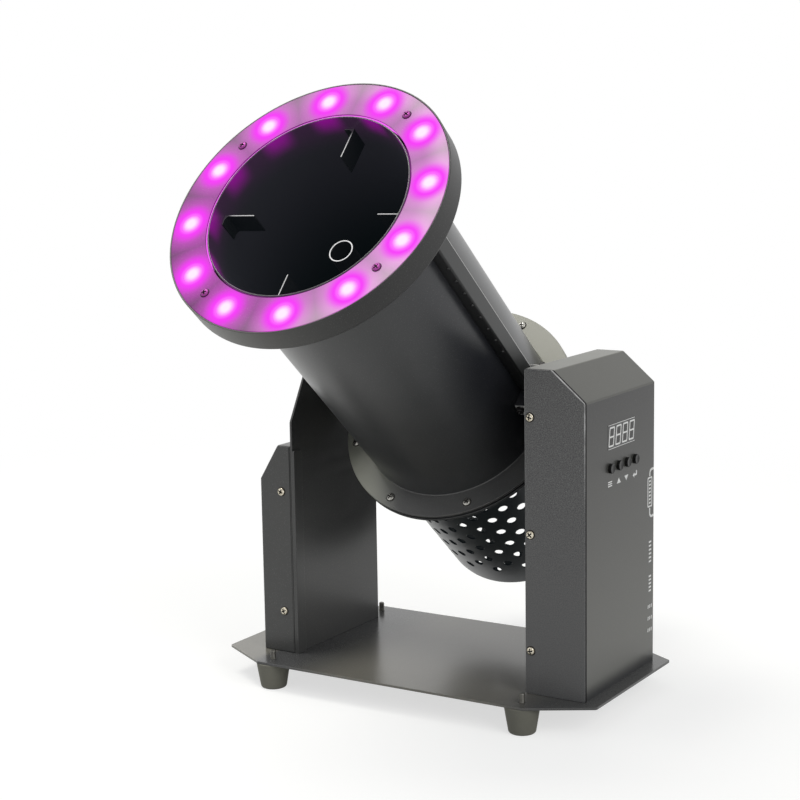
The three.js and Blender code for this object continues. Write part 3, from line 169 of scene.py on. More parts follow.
class Socket:
    """The output of a shader node. Sums on it add Math nodes, and node() adds any other node beside it."""

    def __init__(self, tree, link=None):
        self.tree = tree
        self.link = link

    def node(self, kind, settings=(), values=(), output=0):
        made = self.tree.nodes.new("ShaderNode" + kind)
        for name, setting in dict(settings).items():
            setattr(made, name, setting)
        for name, value in dict(values).items():
            if isinstance(value, Socket):
                self.tree.links.new(value.link, made.inputs[name])
            else:
                made.inputs[name].default_value = value
        return Socket(self.tree, made.outputs[output] if made.outputs else None)

    def other(self, output):
        """Another output of the same node."""
        return Socket(self.tree, self.link.node.outputs[output])

    def math(self, operation, *terms):
        return self.node("Math", {"operation": operation}, dict(enumerate((self,) + terms)))

    def __add__(self, term):
        return self.math("ADD", term)

    def __mul__(self, term):
        return self.math("MULTIPLY", term)

    def __sub__(self, term):
        return self.math("SUBTRACT", term)

    def __rsub__(self, term):
        return self * -1 + term

    def __gt__(self, term):
        return self.math("GREATER_THAN", term)

    def __lt__(self, term):
        return self.math("LESS_THAN", term)

    __radd__ = __add__
    __rmul__ = __mul__

    def fade(self, start, end):
        """1 up to the start and 0 from the end on, or the other way round, smooth in between."""
        soft = {"interpolation_type": "SMOOTHSTEP"}
        if start > end:
            return self.node("MapRange", soft, {0: self, 1: end, 2: start, 3: 0.0, 4: 1.0})
        return self.node("MapRange", soft, {0: self, 1: start, 2: end, 3: 1.0, 4: 0.0})

    def blend(self, none, full):
        """The one colour where this is 0, the other where it is 1."""
        return self.node("Mix", {"data_type": "RGBA"}, {0: self, 6: none, 7: full}, 2)

    def noise(self, scale, detail=2.0, roughness=0.5):
        """Noise over a vector of metres, from 0 to 1."""
        values = {"Vector": self, "Scale": scale, "Detail": detail, "Roughness": roughness}
        return self.node("TexNoise", (), values)

    def relief(self, strength, depth):
        """The surface's normal with this height on it."""
        return self.node("Bump", (), {"Height": self, "Strength": strength, "Distance": depth})

    def surface(self, values):
        shader = self.node("BsdfPrincipled", (), values)
        self.node("OutputMaterial", (), {"Surface": shader})


def material(name):
    """A new material, and its object coordinates in metres."""
    made = bpy.data.materials.new(name)
    made.use_nodes = True
    made.node_tree.nodes.clear()
    return made, Socket(made.node_tree).node("TexCoord", (), (), "Object")


def shade(red, green, blue):
    """A colour from its screen values, 0 to 255."""
    screen = [value / 255 for value in (red, green, blue)]
    return (*[v / 12.92 if v < 0.04045 else ((v + 0.055) / 1.055) ** 2.4 for v in screen], 1.0)


def powder_grain(place):
    """The relief and the pale specks of a powder coat."""
    sand = place.noise(900, 3.0, 0.65)
    ripple = place.noise(300, 1.0)
    specks = place.noise(1200, 1.0).fade(0.74, 0.62)
    return (sand * 0.7 + ripple * 0.5).relief(0.12, 0.0003), specks


def measured(place, origin, turn=(0, 0, 0)):
    """The three distances of a place from an origin, in millimetres, along axes that may be turned."""
    values = {"Vector": place, "Location": origin, "Rotation": turn, "Scale": (MM, MM, MM)}
    own = place.node("Mapping", {"vector_type": "TEXTURE"}, values)
    parts = own.node("SeparateXYZ", (), {"Vector": own})
    return parts, parts.other(1), parts.other(2)


def on_deck(place):
    """The place from the middle of the plate's top: across, to the rear, and up."""
    return measured(place, deck.translation * MM)


coat, place = material("powder_coat")
grain, specks = powder_grain(place)
cloud = place.noise(14, 3.0)
coat_tone = cloud.blend(shade(64, 65, 65), shade(74, 74, 73))
coat_colour = (specks * 0.25).blend(coat_tone, shade(140, 140, 138))
place.surface({"Base Color": coat_colour, "Roughness": cloud * 0.1 + 0.25, "Normal": grain})

plate_coat, place = material("plate_coat")
grain, specks = powder_grain(place)
x, y, z = on_deck(place)
cloud = place.noise(9, 3.0)
# Painted reflection of the arms: the plate is painted dark beside the left arm and beside the right arm.
painted_left_reflection = x.fade(-150, -166) * x.fade(-125, -40) * 0.8
painted_arm_reflection = painted_left_reflection.math("MAXIMUM", x.fade(172, 112) * 0.75)
open_tone = cloud.blend(shade(112, 110, 102), shade(123, 120, 112))
plate_tone = painted_arm_reflection.blend(open_tone, shade(58, 60, 65))
plate_colour = (specks * 0.25).blend(plate_tone, shade(160, 160, 156))
place.surface({"Base Color": plate_colour, "Roughness": cloud * 0.1 + 0.18, "Normal": grain})

form = bmesh.new()
half_x = plate_length / 2
half_y = plate_depth / 2
plate_outline = [
    (-half_x, -half_y + plate_cut_y),
    (-half_x + plate_cut_x, -half_y),
    (half_x - plate_cut_x, -half_y),
    (half_x, -half_y + plate_cut_y),
    (half_x, half_y - plate_cut_y),
    (half_x - plate_cut_x, half_y),
    (-half_x + plate_cut_x, half_y),
    (-half_x, half_y - plate_cut_y),
]
foot_places = [(-foot_x, -foot_y), (foot_x, -foot_y), (-foot_x, foot_y), (foot_x, foot_y)]
plate_holes = [circle(x, y, foot_hole) for x, y in foot_places]
plate_holes += [circle(x, lead_y, lead_hole) for x in (-lead_x, lead_x)]
sheet(form, eased(plate_outline, plate_corner), plate_holes, -plate_sheet, 0, deburred)
piece("base_sheet", form, deck, "base", plate_coat, "powder_coat", "base_plate")

# Wiring channel: a shallow folded tray held up under the plate, which takes the leads from the control box
# to the power supply under the left cover. Thin steel, coated with the plate.
channel_reach = 165.2
channel_half = 15
channel_depth = 8
channel_sheet = 1.2
seat_gap = 0.3


def block(form, low, high, edge, turn=Matrix(), segments=2):
    """A box between two corners, with its edges rounded."""
    made = bmesh.new()
    bmesh.ops.create_cube(made, size=1)
    size = Vector(high) - Vector(low)
    middle = (Vector(high) + Vector(low)) / 2
    made.transform(Matrix.Translation(middle) @ Matrix.Diagonal((*size, 1)))
    bmesh.ops.bevel(made, geom=made.edges, offset=edge, segments=segments, profile=0.5, affect="EDGES")
    put(form, made, turn)


form = bmesh.new()
under = at(0, lead_y, -plate_sheet)
tray_low = (-channel_reach, -channel_half, -channel_depth)
block(form, tray_low, (channel_reach, channel_half, channel_sheet - channel_depth), deburred, under)
for side in (-1, 1):
    wall = sorted((side * channel_half, side * (channel_half - channel_sheet)))
    wall_low = (-channel_reach, wall[0], -channel_depth)
    block(form, wall_low, (channel_reach, wall[1], -seat_gap), deburred, under)
    end = sorted((side * channel_reach, side * (channel_reach - channel_sheet)))
    block(form, (end[0], -channel_half, -channel_depth), (end[1], channel_half, -seat_gap), deburred, under)
piece("wiring_tray", form, deck, "base", coat, "powder_coat", "wiring_channel")

# Feet: four tapered feet moulded of hard grey rubber, each with a deep recess below for its screw.
# A steel screw goes up through each foot and stands a little above the plate.
foot_height = 27
foot_top = 17.5
foot_bottom = 13
foot_recess = 6.5
foot_recess_depth = 13
stud_radius = 3
stud_stand = 9
stud_pitch = 1.25
stud_thread = 0.35
stud_head = 5.5
stud_head_height = 4


def spun(form, profile, turn=Matrix(), steps=96, tone=0):
    """A closed profile of radius and height, turned about its axis."""
    made = bmesh.new()
    rows = []
    turns = [2 * math.pi * step / steps for step in range(steps)]
    for radius, height in profile:
        if radius < MM:
            rows.append([made.verts.new((0, 0, height))] * steps)
        else:
            rows.append([made.verts.new((radius * math.cos(t), radius * math.sin(t), height)) for t in turns])
    for first, second in zip(rows, rows[1:] + rows[:1]):
        for index in range(steps):
            after = (index + 1) % steps
            corners = dict.fromkeys((first[index], first[after], second[after], second[index]))
            if len(corners) > 2:
                made.faces.new(corners)
    bmesh.ops.recalc_face_normals(made, faces=made.faces)
    put(form, made, turn, tone)


def threaded(radius, low, high, pitch, depth):
    """The side of a screw's thread, as rings, from low to high."""
    count = round((high - low) / pitch)
    rows = []
    for index in range(count):
        base = low + index * (high - low) / count
        rows += [(radius - depth, base), (radius, base + pitch * 0.4), (radius, base + pitch * 0.5)]
    return rows


def even_finish(name, noise, tones, metallic, rough, relief):
    """A finish of two tones: the share of the second, the roughness and the relief all follow one noise."""
    made, place = material(name)
    mottle = place.noise(*noise)
    place.surface({
        "Base Color": mottle.blend(shade(*tones[0]), shade(*tones[1])),
        "Metallic": metallic,
        "Roughness": mottle * rough[0] + rough[1],
        "Normal": mottle.relief(*relief),
    })
    return made


rubber, place = material("foot_rubber")
mottle = place.noise(60, 4.0, 0.6)
dust = place.noise(900, 2.0)
rubber_colour = mottle.blend(shade(112, 111, 102), shade(132, 131, 120))
rubber_relief = (dust + mottle * 0.6).relief(0.3, 0.0002)
place.surface({"Base Color": rubber_colour, "Roughness": mottle * 0.2 + 0.66, "Normal": rubber_relief})

stud_tones = ((112, 111, 106), (84, 83, 79))
stud_zinc = even_finish("stud_zinc", (700, 3.0, 0.6), stud_tones, 0.85, (0.2, 0.32), (0.15, 0.0001))

form = bmesh.new()
studs = bmesh.new()
recess_top = foot_recess_depth - foot_height
foot_profile = eased(
    [
        (foot_hole, 0),
        (foot_hole, recess_top),
        (foot_recess, recess_top),
        (foot_recess, -foot_height),
        (foot_bottom, -foot_height),
        (foot_top, 0),
    ],
    [0.3, 0.3, 0.8, 1.0, 3.0, 0.8],
)
head_top = recess_top - seat_gap
stud_profile = [
    (0, head_top - stud_head_height),
    *arc(stud_head - 1, head_top - stud_head_height + 1, 1, 270, 360, 4),
    (stud_head, head_top),
    *threaded(stud_radius, head_top, plate_sheet + stud_stand - 0.8, stud_pitch, stud_thread),
    (stud_radius - 0.6, plate_sheet + stud_stand),
    (0, plate_sheet + stud_stand),
]
for x, y in foot_places:
    spun(form, foot_profile, at(x, y, -plate_sheet), 72)
    spun(studs, stud_profile, at(x, y, -plate_sheet), 32)
feet = ["front_left", "front_right", "rear_left", "rear_right"]
stud_nodes = ["foot_screw_" + foot for foot in feet]
piece("rubber_feet", form, deck, "base", rubber, "foot_rubber", *["foot_" + foot for foot in feet])
piece("foot_studs", studs, deck, "base", stud_zinc, "nickel_screws", *stud_nodes)

# Left arm: a sheet of 2.5 mm steel cut to a shoulder and bent outwards at its foot, its front and its rear.
# A narrow strip is spot welded along its front edge, and the trunnion's shaft passes through near the top.
pivot_height = 273.6
arm_half = 78.3
arm_sheet = 2.5
left_inner = -132
left_outer = -134.5
left_shoulder = 242.4
arm_top = 313.3
left_top_half = 38
flange_width = 17.5
flange_lift = 6
flange_face = 76.5
arm_foot = 28
arm_foot_half = 40
strip_width = 14
strip_sheet = 2.1
strip_top = 213
shaft_hole = 12
cover_low = 181.3
along_x = Matrix(((0, 0, 1, 0), (1, 0, 0, 0), (0, 1, 0, 0), (0, 0, 0, 1)))
along_y = Matrix(((1, 0, 0, 0), (0, 0, -1, 0), (0, 1, 0, 0), (0, 0, 0, 1)))

form = bmesh.new()
left_web = [
    (-arm_half, 0),
    (arm_half, 0),
    (arm_half, left_shoulder),
    (left_top_half, arm_top),
    (-left_top_half, arm_top),
    (-arm_half, left_shoulder),
]
web_corners = [0, 0, 6, 6, 6, 6]
pivot_hole = circle(0, pivot_height, shaft_hole)
sheet(form, eased(left_web, web_corners), [pivot_hole], left_outer, left_inner, deburred, along_x)
for side in (-1, 1):
    ends = sorted((side * flange_face, side * (flange_face - arm_sheet)))
    flange_end = left_outer - flange_width - arm_sheet
    block(form, (flange_end, ends[0], flange_lift), (left_inner - deburred, ends[1], cover_low), deburred)
foot_end = left_outer - arm_foot
block(form, (foot_end, -arm_foot_half, 0), (left_inner - deburred, arm_foot_half, arm_sheet), deburred)
strip = eased(oblong(-arm_half, 0, strip_width - arm_half, strip_top), [0, 0, 5, 1.5])
sheet(form, strip, (), left_inner - deburred, left_inner + strip_sheet, deburred, along_x)
piece("left_arm_sheet", form, deck, "base", coat, "powder_coat", "left_arm")

# Left cover: a folded box of 1.5 mm steel with a sloped shoulder, over the power supply. Two nickel-plated
# pan-head screws hold its front to the arm's flange.
cover_sheet = 1.5
left_cover_x = -134.8
left_cover_end = -173
left_slope_x = -150.7
left_cover_top = 217.6
left_screw_x = -146.5
left_screws = (43.7, 169.5)
cover_bend = 1.6
screw_head = 4
screw_head_height = 2.6
screw_cross = 3.1
screw_shank = 2
screw_length = 10


def cut(form, tool):
    """Takes the tool's shape out of the form."""
    pair = []
    for shape in (form, tool):
        mesh = bpy.data.meshes.new("shape")
        shape.to_mesh(mesh)
        shape.clear()
        pair.append(bpy.data.objects.new("shape", mesh))
        bpy.context.collection.objects.link(pair[-1])
    step = pair[0].modifiers.new("cut", "BOOLEAN")
    step.object = pair[1]
    step.solver = "EXACT"
    left = bpy.data.meshes.new_from_object(pair[0].evaluated_get(bpy.context.evaluated_depsgraph_get()))
    form.from_mesh(left)
    tool.free()
    for shape in [item.data for item in pair] + [left]:
        bpy.data.meshes.remove(shape)


def turned(angle, axis):
    return Matrix.Rotation(math.radians(angle), 4, axis)


def domed(radius, low, rise, steps):
    """The profile of a dome, from its rim to just short of its top."""
    turns = [math.pi / 2 * step / steps for step in range(steps)]
    return [(radius * math.cos(turn), low + rise * math.sin(turn)) for turn in turns]


def cross_head(radius, height, cross):
    """The mesh of a pan head with a cross recess, seated at height 0, whose deep faces take a painted shade.
    """
    head = bmesh.new()
    rim = height * 0.45
    dome = domed(radius, rim, height - rim, 8)
    spun(head, [(0, -seat_gap), (radius, -seat_gap), *dome, (0, height)], Matrix(), 40)
    slot_width = cross * 0.46
    top, bottom = height + 0.2, height * 0.1
    arm = [(-cross, top), (cross, top), (cross * 0.45, bottom), (-cross * 0.45, bottom)]
    for angle in (0, 90):
        tool = bmesh.new()
        sheet(tool, arm, (), -slot_width / 2, slot_width / 2, 0.05, turned(angle, "Z") @ along_y)
        cut(head, tool)
    # Faces deep in the cross recess take the second finish, painted shade.
    for face in head.faces:
        middle = face.calc_center_median()
        reach = middle.xy.length
        face.material_index = 0
        if reach < cross and middle.z < rim + (height - rim) * math.sqrt(1 - (reach / radius) ** 2) - 0.1:
            face.material_index = 1
    mesh = bpy.data.meshes.new("cross_head")
    head.to_mesh(mesh)
    head.free()
    return mesh


def screw(form, head, turn, shank=screw_shank, length=screw_length):
    """One screw: its head out along the turned Z in a ring of painted shade on the coat, and its shank the
    other way.
    """
    copy = head.copy()
    copy.transform(turn)
    form.from_mesh(copy)
    bpy.data.meshes.remove(copy)
    rim = max(corner.co.x for corner in head.vertices)
    # A dark ring just wider than the head, in the second finish: painted shade where the head meets the coat.
    spun(form, [(0, -0.1), (rim * 1.2, -0.1), (rim * 1.18, 0.1), (0, 0.15)], turn, 32, 1)
    spun(form, [(0, -length), (shank * 0.7, -length), (shank, 0.6 - length), (shank, 0), (0, 0)], turn, 16)


nickel, place = material("nickel_screws")
tarnish = place.noise(800, 3.0, 0.6)
nickel_colour = tarnish.fade(0.4, 0.6).blend(shade(150, 140, 120), shade(236, 230, 214))
place.surface({
    "Base Color": nickel_colour,
    "Metallic": 1.0,
    "Roughness": tarnish * 0.24 + 0.14,
    "Normal": tarnish.relief(0.15, 0.0001),
})
# Painted shade: the near black finish of the cross recesses and of the ring round each screw head.
recess_shade_tones = ((18, 17, 16), (34, 32, 29))
recess_shade = even_finish("recess_shade", (900, 2.0), recess_shade_tones, 0.0, (0.2, 0.6), (0.1, 0.0001))

pan_head = cross_head(screw_head, screw_head_height, screw_cross)
to_front = turned(90, "X")

form = bmesh.new()
left_section = [
    (left_cover_x, 0),
    (left_cover_x, left_cover_top),
    (left_slope_x, left_cover_top),
    (left_cover_end, cover_low),
    (left_cover_end, 0),
]
sheet(form, eased(left_section, [0, 0.8, 3, 3, 0]), (), -arm_half, arm_half, cover_bend, along_y)
left_room = [
    (left_cover_x + arm_sheet, -arm_sheet),
    (left_cover_x + arm_sheet, left_cover_top - cover_sheet),
    (left_slope_x + 0.8, left_cover_top - cover_sheet),
    (left_cover_end + cover_sheet, cover_low - 0.4),
    (left_cover_end + cover_sheet, -arm_sheet),
]
tool = bmesh.new()
sheet(tool, left_room, (), cover_sheet - arm_half, arm_half - cover_sheet, 0.3, along_y)
cut(form, tool)
piece("left_cover_sheet", form, deck, "base", coat, "powder_coat", "left_cover")

form = bmesh.new()
for index, z in enumerate(left_screws):
    screw(form, pan_head, at(left_screw_x, -arm_half, z) @ to_front @ turned(24 + 40 * index, "Z"))
screw_nodes = ["left_cover_screw_1", "left_cover_screw_2"]
piece("left_cover_screws", form, deck, "base", (nickel, recess_shade), "nickel_screws", *screw_nodes)

# Power supply: a bought-in unit in a folded case of bright zinc-plated steel, screwed to the arm under the
# left cover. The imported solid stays, and the plating's crystal pattern is in its material.
zinc, place = material("zinc_case")
crystals = place.node("TexVoronoi", (), {"Vector": place, "Scale": 160.0}, "Color")
crystal = place.node("SeparateColor", (), {"Color": crystals})
dull = place.noise(30, 3.0)
zinc_colour = (crystal * 0.6 + dull * 0.3).blend(shade(150, 154, 157), shade(196, 199, 201))
place.surface({
    "Base Color": zinc_colour,
    "Metallic": 0.9,
    "Roughness": crystal * 0.2 + 0.3,
    "Normal": crystal.relief(0.05, 0.0001),
})


def dress(node, finish):
    """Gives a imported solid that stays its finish."""
    solid = frame["nodes"][node]
    solid.data.materials.clear()
    solid.data.materials.append(finish)


dress("power_supply", zinc)

# Right arm: the same sheet as the left one, but square, with flanges at the front, the top and the rear that
# carry the control box's shell and cover.
right_inner = 134.4
right_outer = 136.9
right_top = 311.5
top_flange = 24
top_flange_half = 60
rear_flange_low = 150

form = bmesh.new()
right_web = oblong(-flange_face, 0, flange_face, right_top)
sheet(form, eased(right_web, [0, 0, 2.5, 2.5]), [pivot_hole], right_inner, right_outer, deburred, along_x)
right_end = right_outer + flange_width
fold = right_inner + deburred
for side, low_end in ((-1, flange_lift), (1, rear_flange_low)):
    ends = sorted((side * flange_face, side * (flange_face - arm_sheet)))
    block(form, (fold, ends[0], low_end), (right_end, ends[1], right_top), deburred)
block(form, (fold, -arm_foot_half, 0), (right_outer + arm_foot, arm_foot_half, arm_sheet), deburred)
top_low = (fold, -top_flange_half, right_top - arm_sheet)
block(form, top_low, (right_inner + top_flange, top_flange_half, right_top), deburred)
piece("right_arm_sheet", form, deck, "base", coat, "powder_coat", "right_arm")

# Control box shell: one folded sheet of 1.5 mm steel that makes the outer face, the sloped shoulder, the top
# and the rear. It is punched for the display, the four buttons, and the sockets and fuse at the rear.
box_end = 197
box_shoulder = 284.5
box_flat = 163.4
box_bend = 2.5
shell_edge = 0.8
window_y = 1.5
window_z = 244.75
window_width = 61
window_height = 24
button_z = 214.9
button_places = (-23.8, -5.37, 13.06, 31.5)
button_radius = 3.7
button_gap = 0.45
mains_x = (152, 180.5)
mains_z = 40
mains_half_x = 10
mains_half_z = 14
mains_gap = 0.3
signal_z = 112
signal_hole = 12.4
fuse_x = 166.25
fuse_z = 80
fuse_hole = 6.6
punch_reach = 4
top_seam = 2.4


def about(x, y, half_x, half_y):
    """An oblong about its middle."""
    return oblong(x - half_x, y - half_y, x + half_x, y + half_y)


def past_slope(x, z):
    """How far a place is outside the sloped shoulder's plane."""
    return (x - box_end) * out_x + (z - box_shoulder) * out_z


box_coat, place = material("box_coat")
grain, specks = powder_grain(place)
x, y, z = on_deck(place)
cloud = place.noise(14, 3.0)
# Painted light: the shell's faces are painted lighter towards the bottom, as if lit from the floor.
painted_low_light = z.node("MapRange", (), {0: z, 1: 40.0, 2: 290.0, 3: 1.0, 4: 0.0})
face_tone = (painted_low_light * 0.85 + cloud * 0.15).blend(shade(31, 31, 32), shade(103, 103, 98))
# Painted shade in the gap behind the cover: a dark band along the shell's front edge.
gap_shade = y < cover_sheet - arm_half + top_seam
slope_length = math.hypot(box_end - box_flat, arm_top - box_shoulder)
out_x = (arm_top - box_shoulder) / slope_length
out_z = (box_end - box_flat) / slope_length
# Painted light: the top and the sloped shoulder are painted lighter and warmer, as the light falls on them.
on_top = z.fade(arm_top - 0.4, arm_top - 1.2)
top_and_shoulder_light = (past_slope(x, z).fade(-0.8, -1.6) * 0.55).math("MAXIMUM", on_top)
lit_top_tone = top_and_shoulder_light.blend(face_tone, shade(98, 98, 90))
# Painted shade: the shell is painted dark just above the plate, with a little more roughness.
painted_foot_shade = z.fade(1, 17) * 0.9
box_tone = painted_foot_shade.blend((specks * 0.15).blend(lit_top_tone, shade(140, 140, 138)), shade(30, 32, 36))
box_colour = gap_shade.blend(box_tone, shade(14, 14, 15))
place.surface({
    "Base Color": box_colour,
    "Roughness": gap_shade * 0.5 + painted_foot_shade * 0.1 + (cloud * 0.1 + 0.3),
    "Specular IOR Level": 0.4,
    "Normal": grain,
})

form = bmesh.new()
box_section = [
    (right_inner, 0),
    (box_end, 0),
    (box_end, box_shoulder),
    (box_flat, arm_top),
    (right_inner, arm_top),
]
cover_back = arm_half - cover_sheet - seat_gap
box_outline = eased(box_section, [0, 0, box_bend, box_bend, shell_edge])
sheet(form, box_outline, (), -arm_half, cover_back, shell_edge, along_y)
box_room = [
    (right_inner - arm_sheet, -arm_sheet),
    (box_end - cover_sheet, -arm_sheet),
    (box_end - cover_sheet, box_shoulder - 0.7),
    (box_flat - 0.4, arm_top - cover_sheet),
    (right_inner - arm_sheet, arm_top - cover_sheet),
]
tool = bmesh.new()
sheet(tool, eased(box_room, [0, 0, 1, 1, 0]), (), cover_sheet - arm_half, arm_half + arm_sheet, 0.1, along_y)
cut(form, tool)
tool = bmesh.new()
window_gap = 0.06
window = about(window_y, window_z, window_width / 2 + window_gap, window_height / 2 + window_gap)
side_punches = [eased(window, 1)]
side_punches += [circle(y, button_z, button_radius + button_gap) for y in button_places]
rear_punches = []
for x in mains_x:
    mains_hole = about(x, mains_z, mains_half_x + mains_gap, mains_half_z + mains_gap)
    rear_punches += [eased(mains_hole, 1), circle(x, signal_z, signal_hole)]
rear_punches.append(circle(fuse_x, fuse_z, fuse_hole))
for punches, face, turn in ((side_punches, box_end, along_x), (rear_punches, -arm_half, along_y)):
    for punch in punches:
        sheet(tool, punch, (), face - punch_reach, face + punch_reach, 0.1, turn)
cut(form, tool)
piece("control_box_body", form, deck, "base", box_coat, "powder_coat", "control_box_shell")

# Control box cover: a flat front sheet of the box's whole outline, with a narrow gap to the shell behind it.
# Three nickel-plated screws hold it to the arm's flange, close to its inner edge.
right_screw_x = 140.3
right_screws = (42.6, 155.8, 268)
highlight_width = 0.8

sand_coat, place = material("sand_coat")
x, y, z = on_deck(place)
high_up = z.fade(240, 60)
sand = place.noise(1000, 2.0, 0.6)
specks = place.noise(1250, 1.0).fade(0.74, 0.62)
# Painted light: the cover's sand tone is lighter towards the bottom.
sand_share = sand.fade(0.66, 0.34) * (high_up * 0.7 + 0.3) + (1 - high_up) * 0.45
sand_tone = sand_share.blend(shade(64, 64, 65), shade(112, 112, 112))
sand_colour = (specks * high_up * 0.35).blend(sand_tone, shade(170, 170, 170))
# Painted highlight: a bright line along the cover's outer, inner and sloped edges, strongest high up and
# broken by noise.
side_edges = (x > box_end - highlight_width).math("MAXIMUM", x < right_inner + 0.6)
edges = side_edges.math("MAXIMUM", past_slope(x, z) > -highlight_width)
patchy = place.noise(70, 3.0).fade(0.7, 0.3)
edge_highlight = edges * z.fade(290, 170) * (patchy * 0.6 + 0.35)
place.surface({
    "Base Color": edge_highlight.blend(sand_colour, shade(215, 215, 215)),
    "Roughness": sand * 0.2 + 0.3,
    "Normal": (sand + specks * 0.4).relief(0.3, 0.0005),
})

form = bmesh.new()
sheet(form, eased(box_section, [1.5, 1.5, 3, 3, 2]), (), arm_half - cover_sheet, arm_half, 0.5, along_y)
piece("control_box_front", form, deck, "base", sand_coat, "powder_coat", "control_box_cover")

form = bmesh.new()
for index, z in enumerate(right_screws):
    screw(form, pan_head, at(right_screw_x, -arm_half, z) @ to_front @ turned(10 + 33 * index, "Z"))
screw_nodes = ["control_box_screw_1", "control_box_screw_2", "control_box_screw_3"]
piece("control_box_screws", form, deck, "base", (nickel, recess_shade), "nickel_screws", *screw_nodes)

# Display: a smoked acrylic pane set into the outer face from behind, with four leaning digits of seven bars.
# The bars are pale, and the spaces inside the digits are nearly black.
pane_front = 197.2
pane_back = 192
pane_lip = 1.5
pane_lip_y = 33.5
pane_lip_z = 15
digit_count = 4
digit_pitch = 15
digit_height = 19
digit_width = 11.4
digit_bar = 1.6
digit_lean = 0.14

pane_tones = ((56, 56, 57), (64, 64, 64))
pane = even_finish("display_pane", (40, 2.0), pane_tones, 0.0, (0.1, 0.3), (0.02, 0.0002))
print_tones = ((246, 246, 244), (253, 253, 252))
print_white = even_finish("white_print", (1500, 2.0), print_tones, 0.0, (0.2, 0.45), (0.1, 0.00005))
well_tones = ((34, 34, 34), (42, 42, 41))
digit_dark = even_finish("digit_dark", (300, 2.0), well_tones, 0.0, (0.1, 0.4), (0.05, 0.0001))

form = bmesh.new()
pane_outline = about(window_y, window_z, window_width / 2, window_height / 2)
sheet(form, eased(pane_outline, 0.8), (), pane_back, pane_front, 0.15, along_x)
lip_low = (pane_back, window_y - pane_lip_y, window_z - pane_lip_z)
lip_high = (pane_back + pane_lip, window_y + pane_lip_y, window_z + pane_lip_z)
block(form, lip_low, lip_high, 0.3)
piece("display_glass", form, deck, "base", pane, "display_pane", "display_window")

form = bmesh.new()
wells = bmesh.new()
half_width = digit_width / 2
half_height = digit_height / 2
inner_x = half_width - digit_bar


def leaning(middle, low_z, high_z, reach, corner):
    """The outline of one part of a leaning digit, in Y and Z."""
    upright = eased(oblong(-reach, low_z, reach, high_z), corner, 3)
    return [(middle + u + v * digit_lean, window_z + v) for u, v in upright]


for index in range(digit_count):
    y = window_y + (index - (digit_count - 1) / 2) * digit_pitch
    digit = leaning(y, -half_height, half_height, half_width, 1.4)
    spaces = [leaning(y, digit_bar / 2, half_height - digit_bar, inner_x, 0.6),
              leaning(y, digit_bar - half_height, -digit_bar / 2, inner_x, 0.6)]
    sheet(form, digit, spaces, pane_front - 0.1, pane_front + 0.08, 0.03, along_x)
    for space in spaces:
        sheet(wells, space, (), pane_front - 0.1, pane_front + 0.03, 0.02, along_x)
piece("display_wells", wells, deck, "base", digit_dark, "display_pane")

# Printing on the outer face: screen-printed white, thin as ink. A hairline above and one below the digits, a
# plain sign under each button, and at the rear edge a ruled panel in a bracket over ticks and dashes.
ink_height = 0.06
ink_front = box_end + ink_height
ink_back = box_end - 0.05
hairline = 0.55
hairline_rise = 11.4
hairline_reach = window_width / 2 - 1
symbol_z = 199.8
symbol_places = (-24, -4.5, 12.5, 32)
symbol_half = 4.4
menu_stroke = 1.1
menu_rises = (-2, 0, 2)
arrow_base = 2.4
arrow_tip = 2.8
bent_arrow = [
    (-5, -0.8),
    (-1, -3.4),
    (-1, -1.7),
    (5, -1.7),
    (5, 3),
    (2.8, 3),
    (2.8, 0.1),
    (-1, 0.1),
    (-1, 1.8),
]
border = 0.8
bracket_stroke = 2.4
bracket_y = (68, 77.4)
bracket_z = (150, 197.6)
bracket_corner = 4
panel_y = (63.4, 73)
panel_z = (160.5, 189.5)
panel_lines = 7
panel_margin = 2.6
tick_stroke = 1.9
tick_half = 2.8
tick_y = 69.3
tick_rows = ((104.3, 124.2, 6), (74.2, 89.1, 5))
dash_stroke = 1.8
dash_pitch = 3.8
dash_half_y = 0.5
dash_half_z = 1.8
dash_rows = (58, 46, 33.8)


def sign(outline, holes=()):
    """A printed shape, in Y and Z."""
    sheet(form, outline, holes, ink_back, ink_front, 0.02, along_x)


def mark(points, thickness, height=ink_front):
    """A printed line through the points, in Y and Z."""
    sides = ([], [])
    for index, point in enumerate(points):
        here = Vector(point)
        before = here - Vector(points[max(index - 1, 0)])
        after = Vector(points[min(index + 1, len(points) - 1)]) - here
        along = (before.normalized() + after.normalized()).normalized() * thickness / 2
        sides[0].append((here.x - along.y, here.y + along.x))
        sides[1].insert(0, (here.x + along.y, here.y - along.x))
    sheet(form, sides[0] + sides[1], (), height - 0.2, height, 0.02, along_x)


def level_mark(y, z, half, thickness, height=ink_front):
    mark([(y - half, z), (y + half, z)], thickness, height)


for rise in (-hairline_rise, hairline_rise):
    level_mark(window_y, window_z + rise, hairline_reach, hairline, pane_front + ink_height)
menu_y, up_y, down_y, enter_y = symbol_places
for rise in menu_rises:
    level_mark(menu_y, symbol_z + rise, symbol_half, menu_stroke)
for middle, up in ((up_y, 1), (down_y, -1)):
    base_z = symbol_z - up * arrow_base
    tip = (middle, symbol_z + up * arrow_tip)
    sign([(middle - symbol_half, base_z), (middle + symbol_half, base_z), tip])
sign([(enter_y + aside, symbol_z + up) for aside, up in bent_arrow])
bend_y = bracket_y[0] + bracket_corner
upper_bend = arc(bend_y, bracket_z[1] - bracket_corner, bracket_corner, 90, 180, 5)
lower_bend = arc(bend_y, bracket_z[0] + bracket_corner, bracket_corner, 180, 270, 5)
mark([(bracket_y[1], bracket_z[1]), *upper_bend, (bracket_y[0], panel_z[1] + 2 * border)], bracket_stroke)
mark([(bracket_y[0], panel_z[0] - 2 * border), *lower_bend, (bracket_y[1], bracket_z[0])], bracket_stroke)
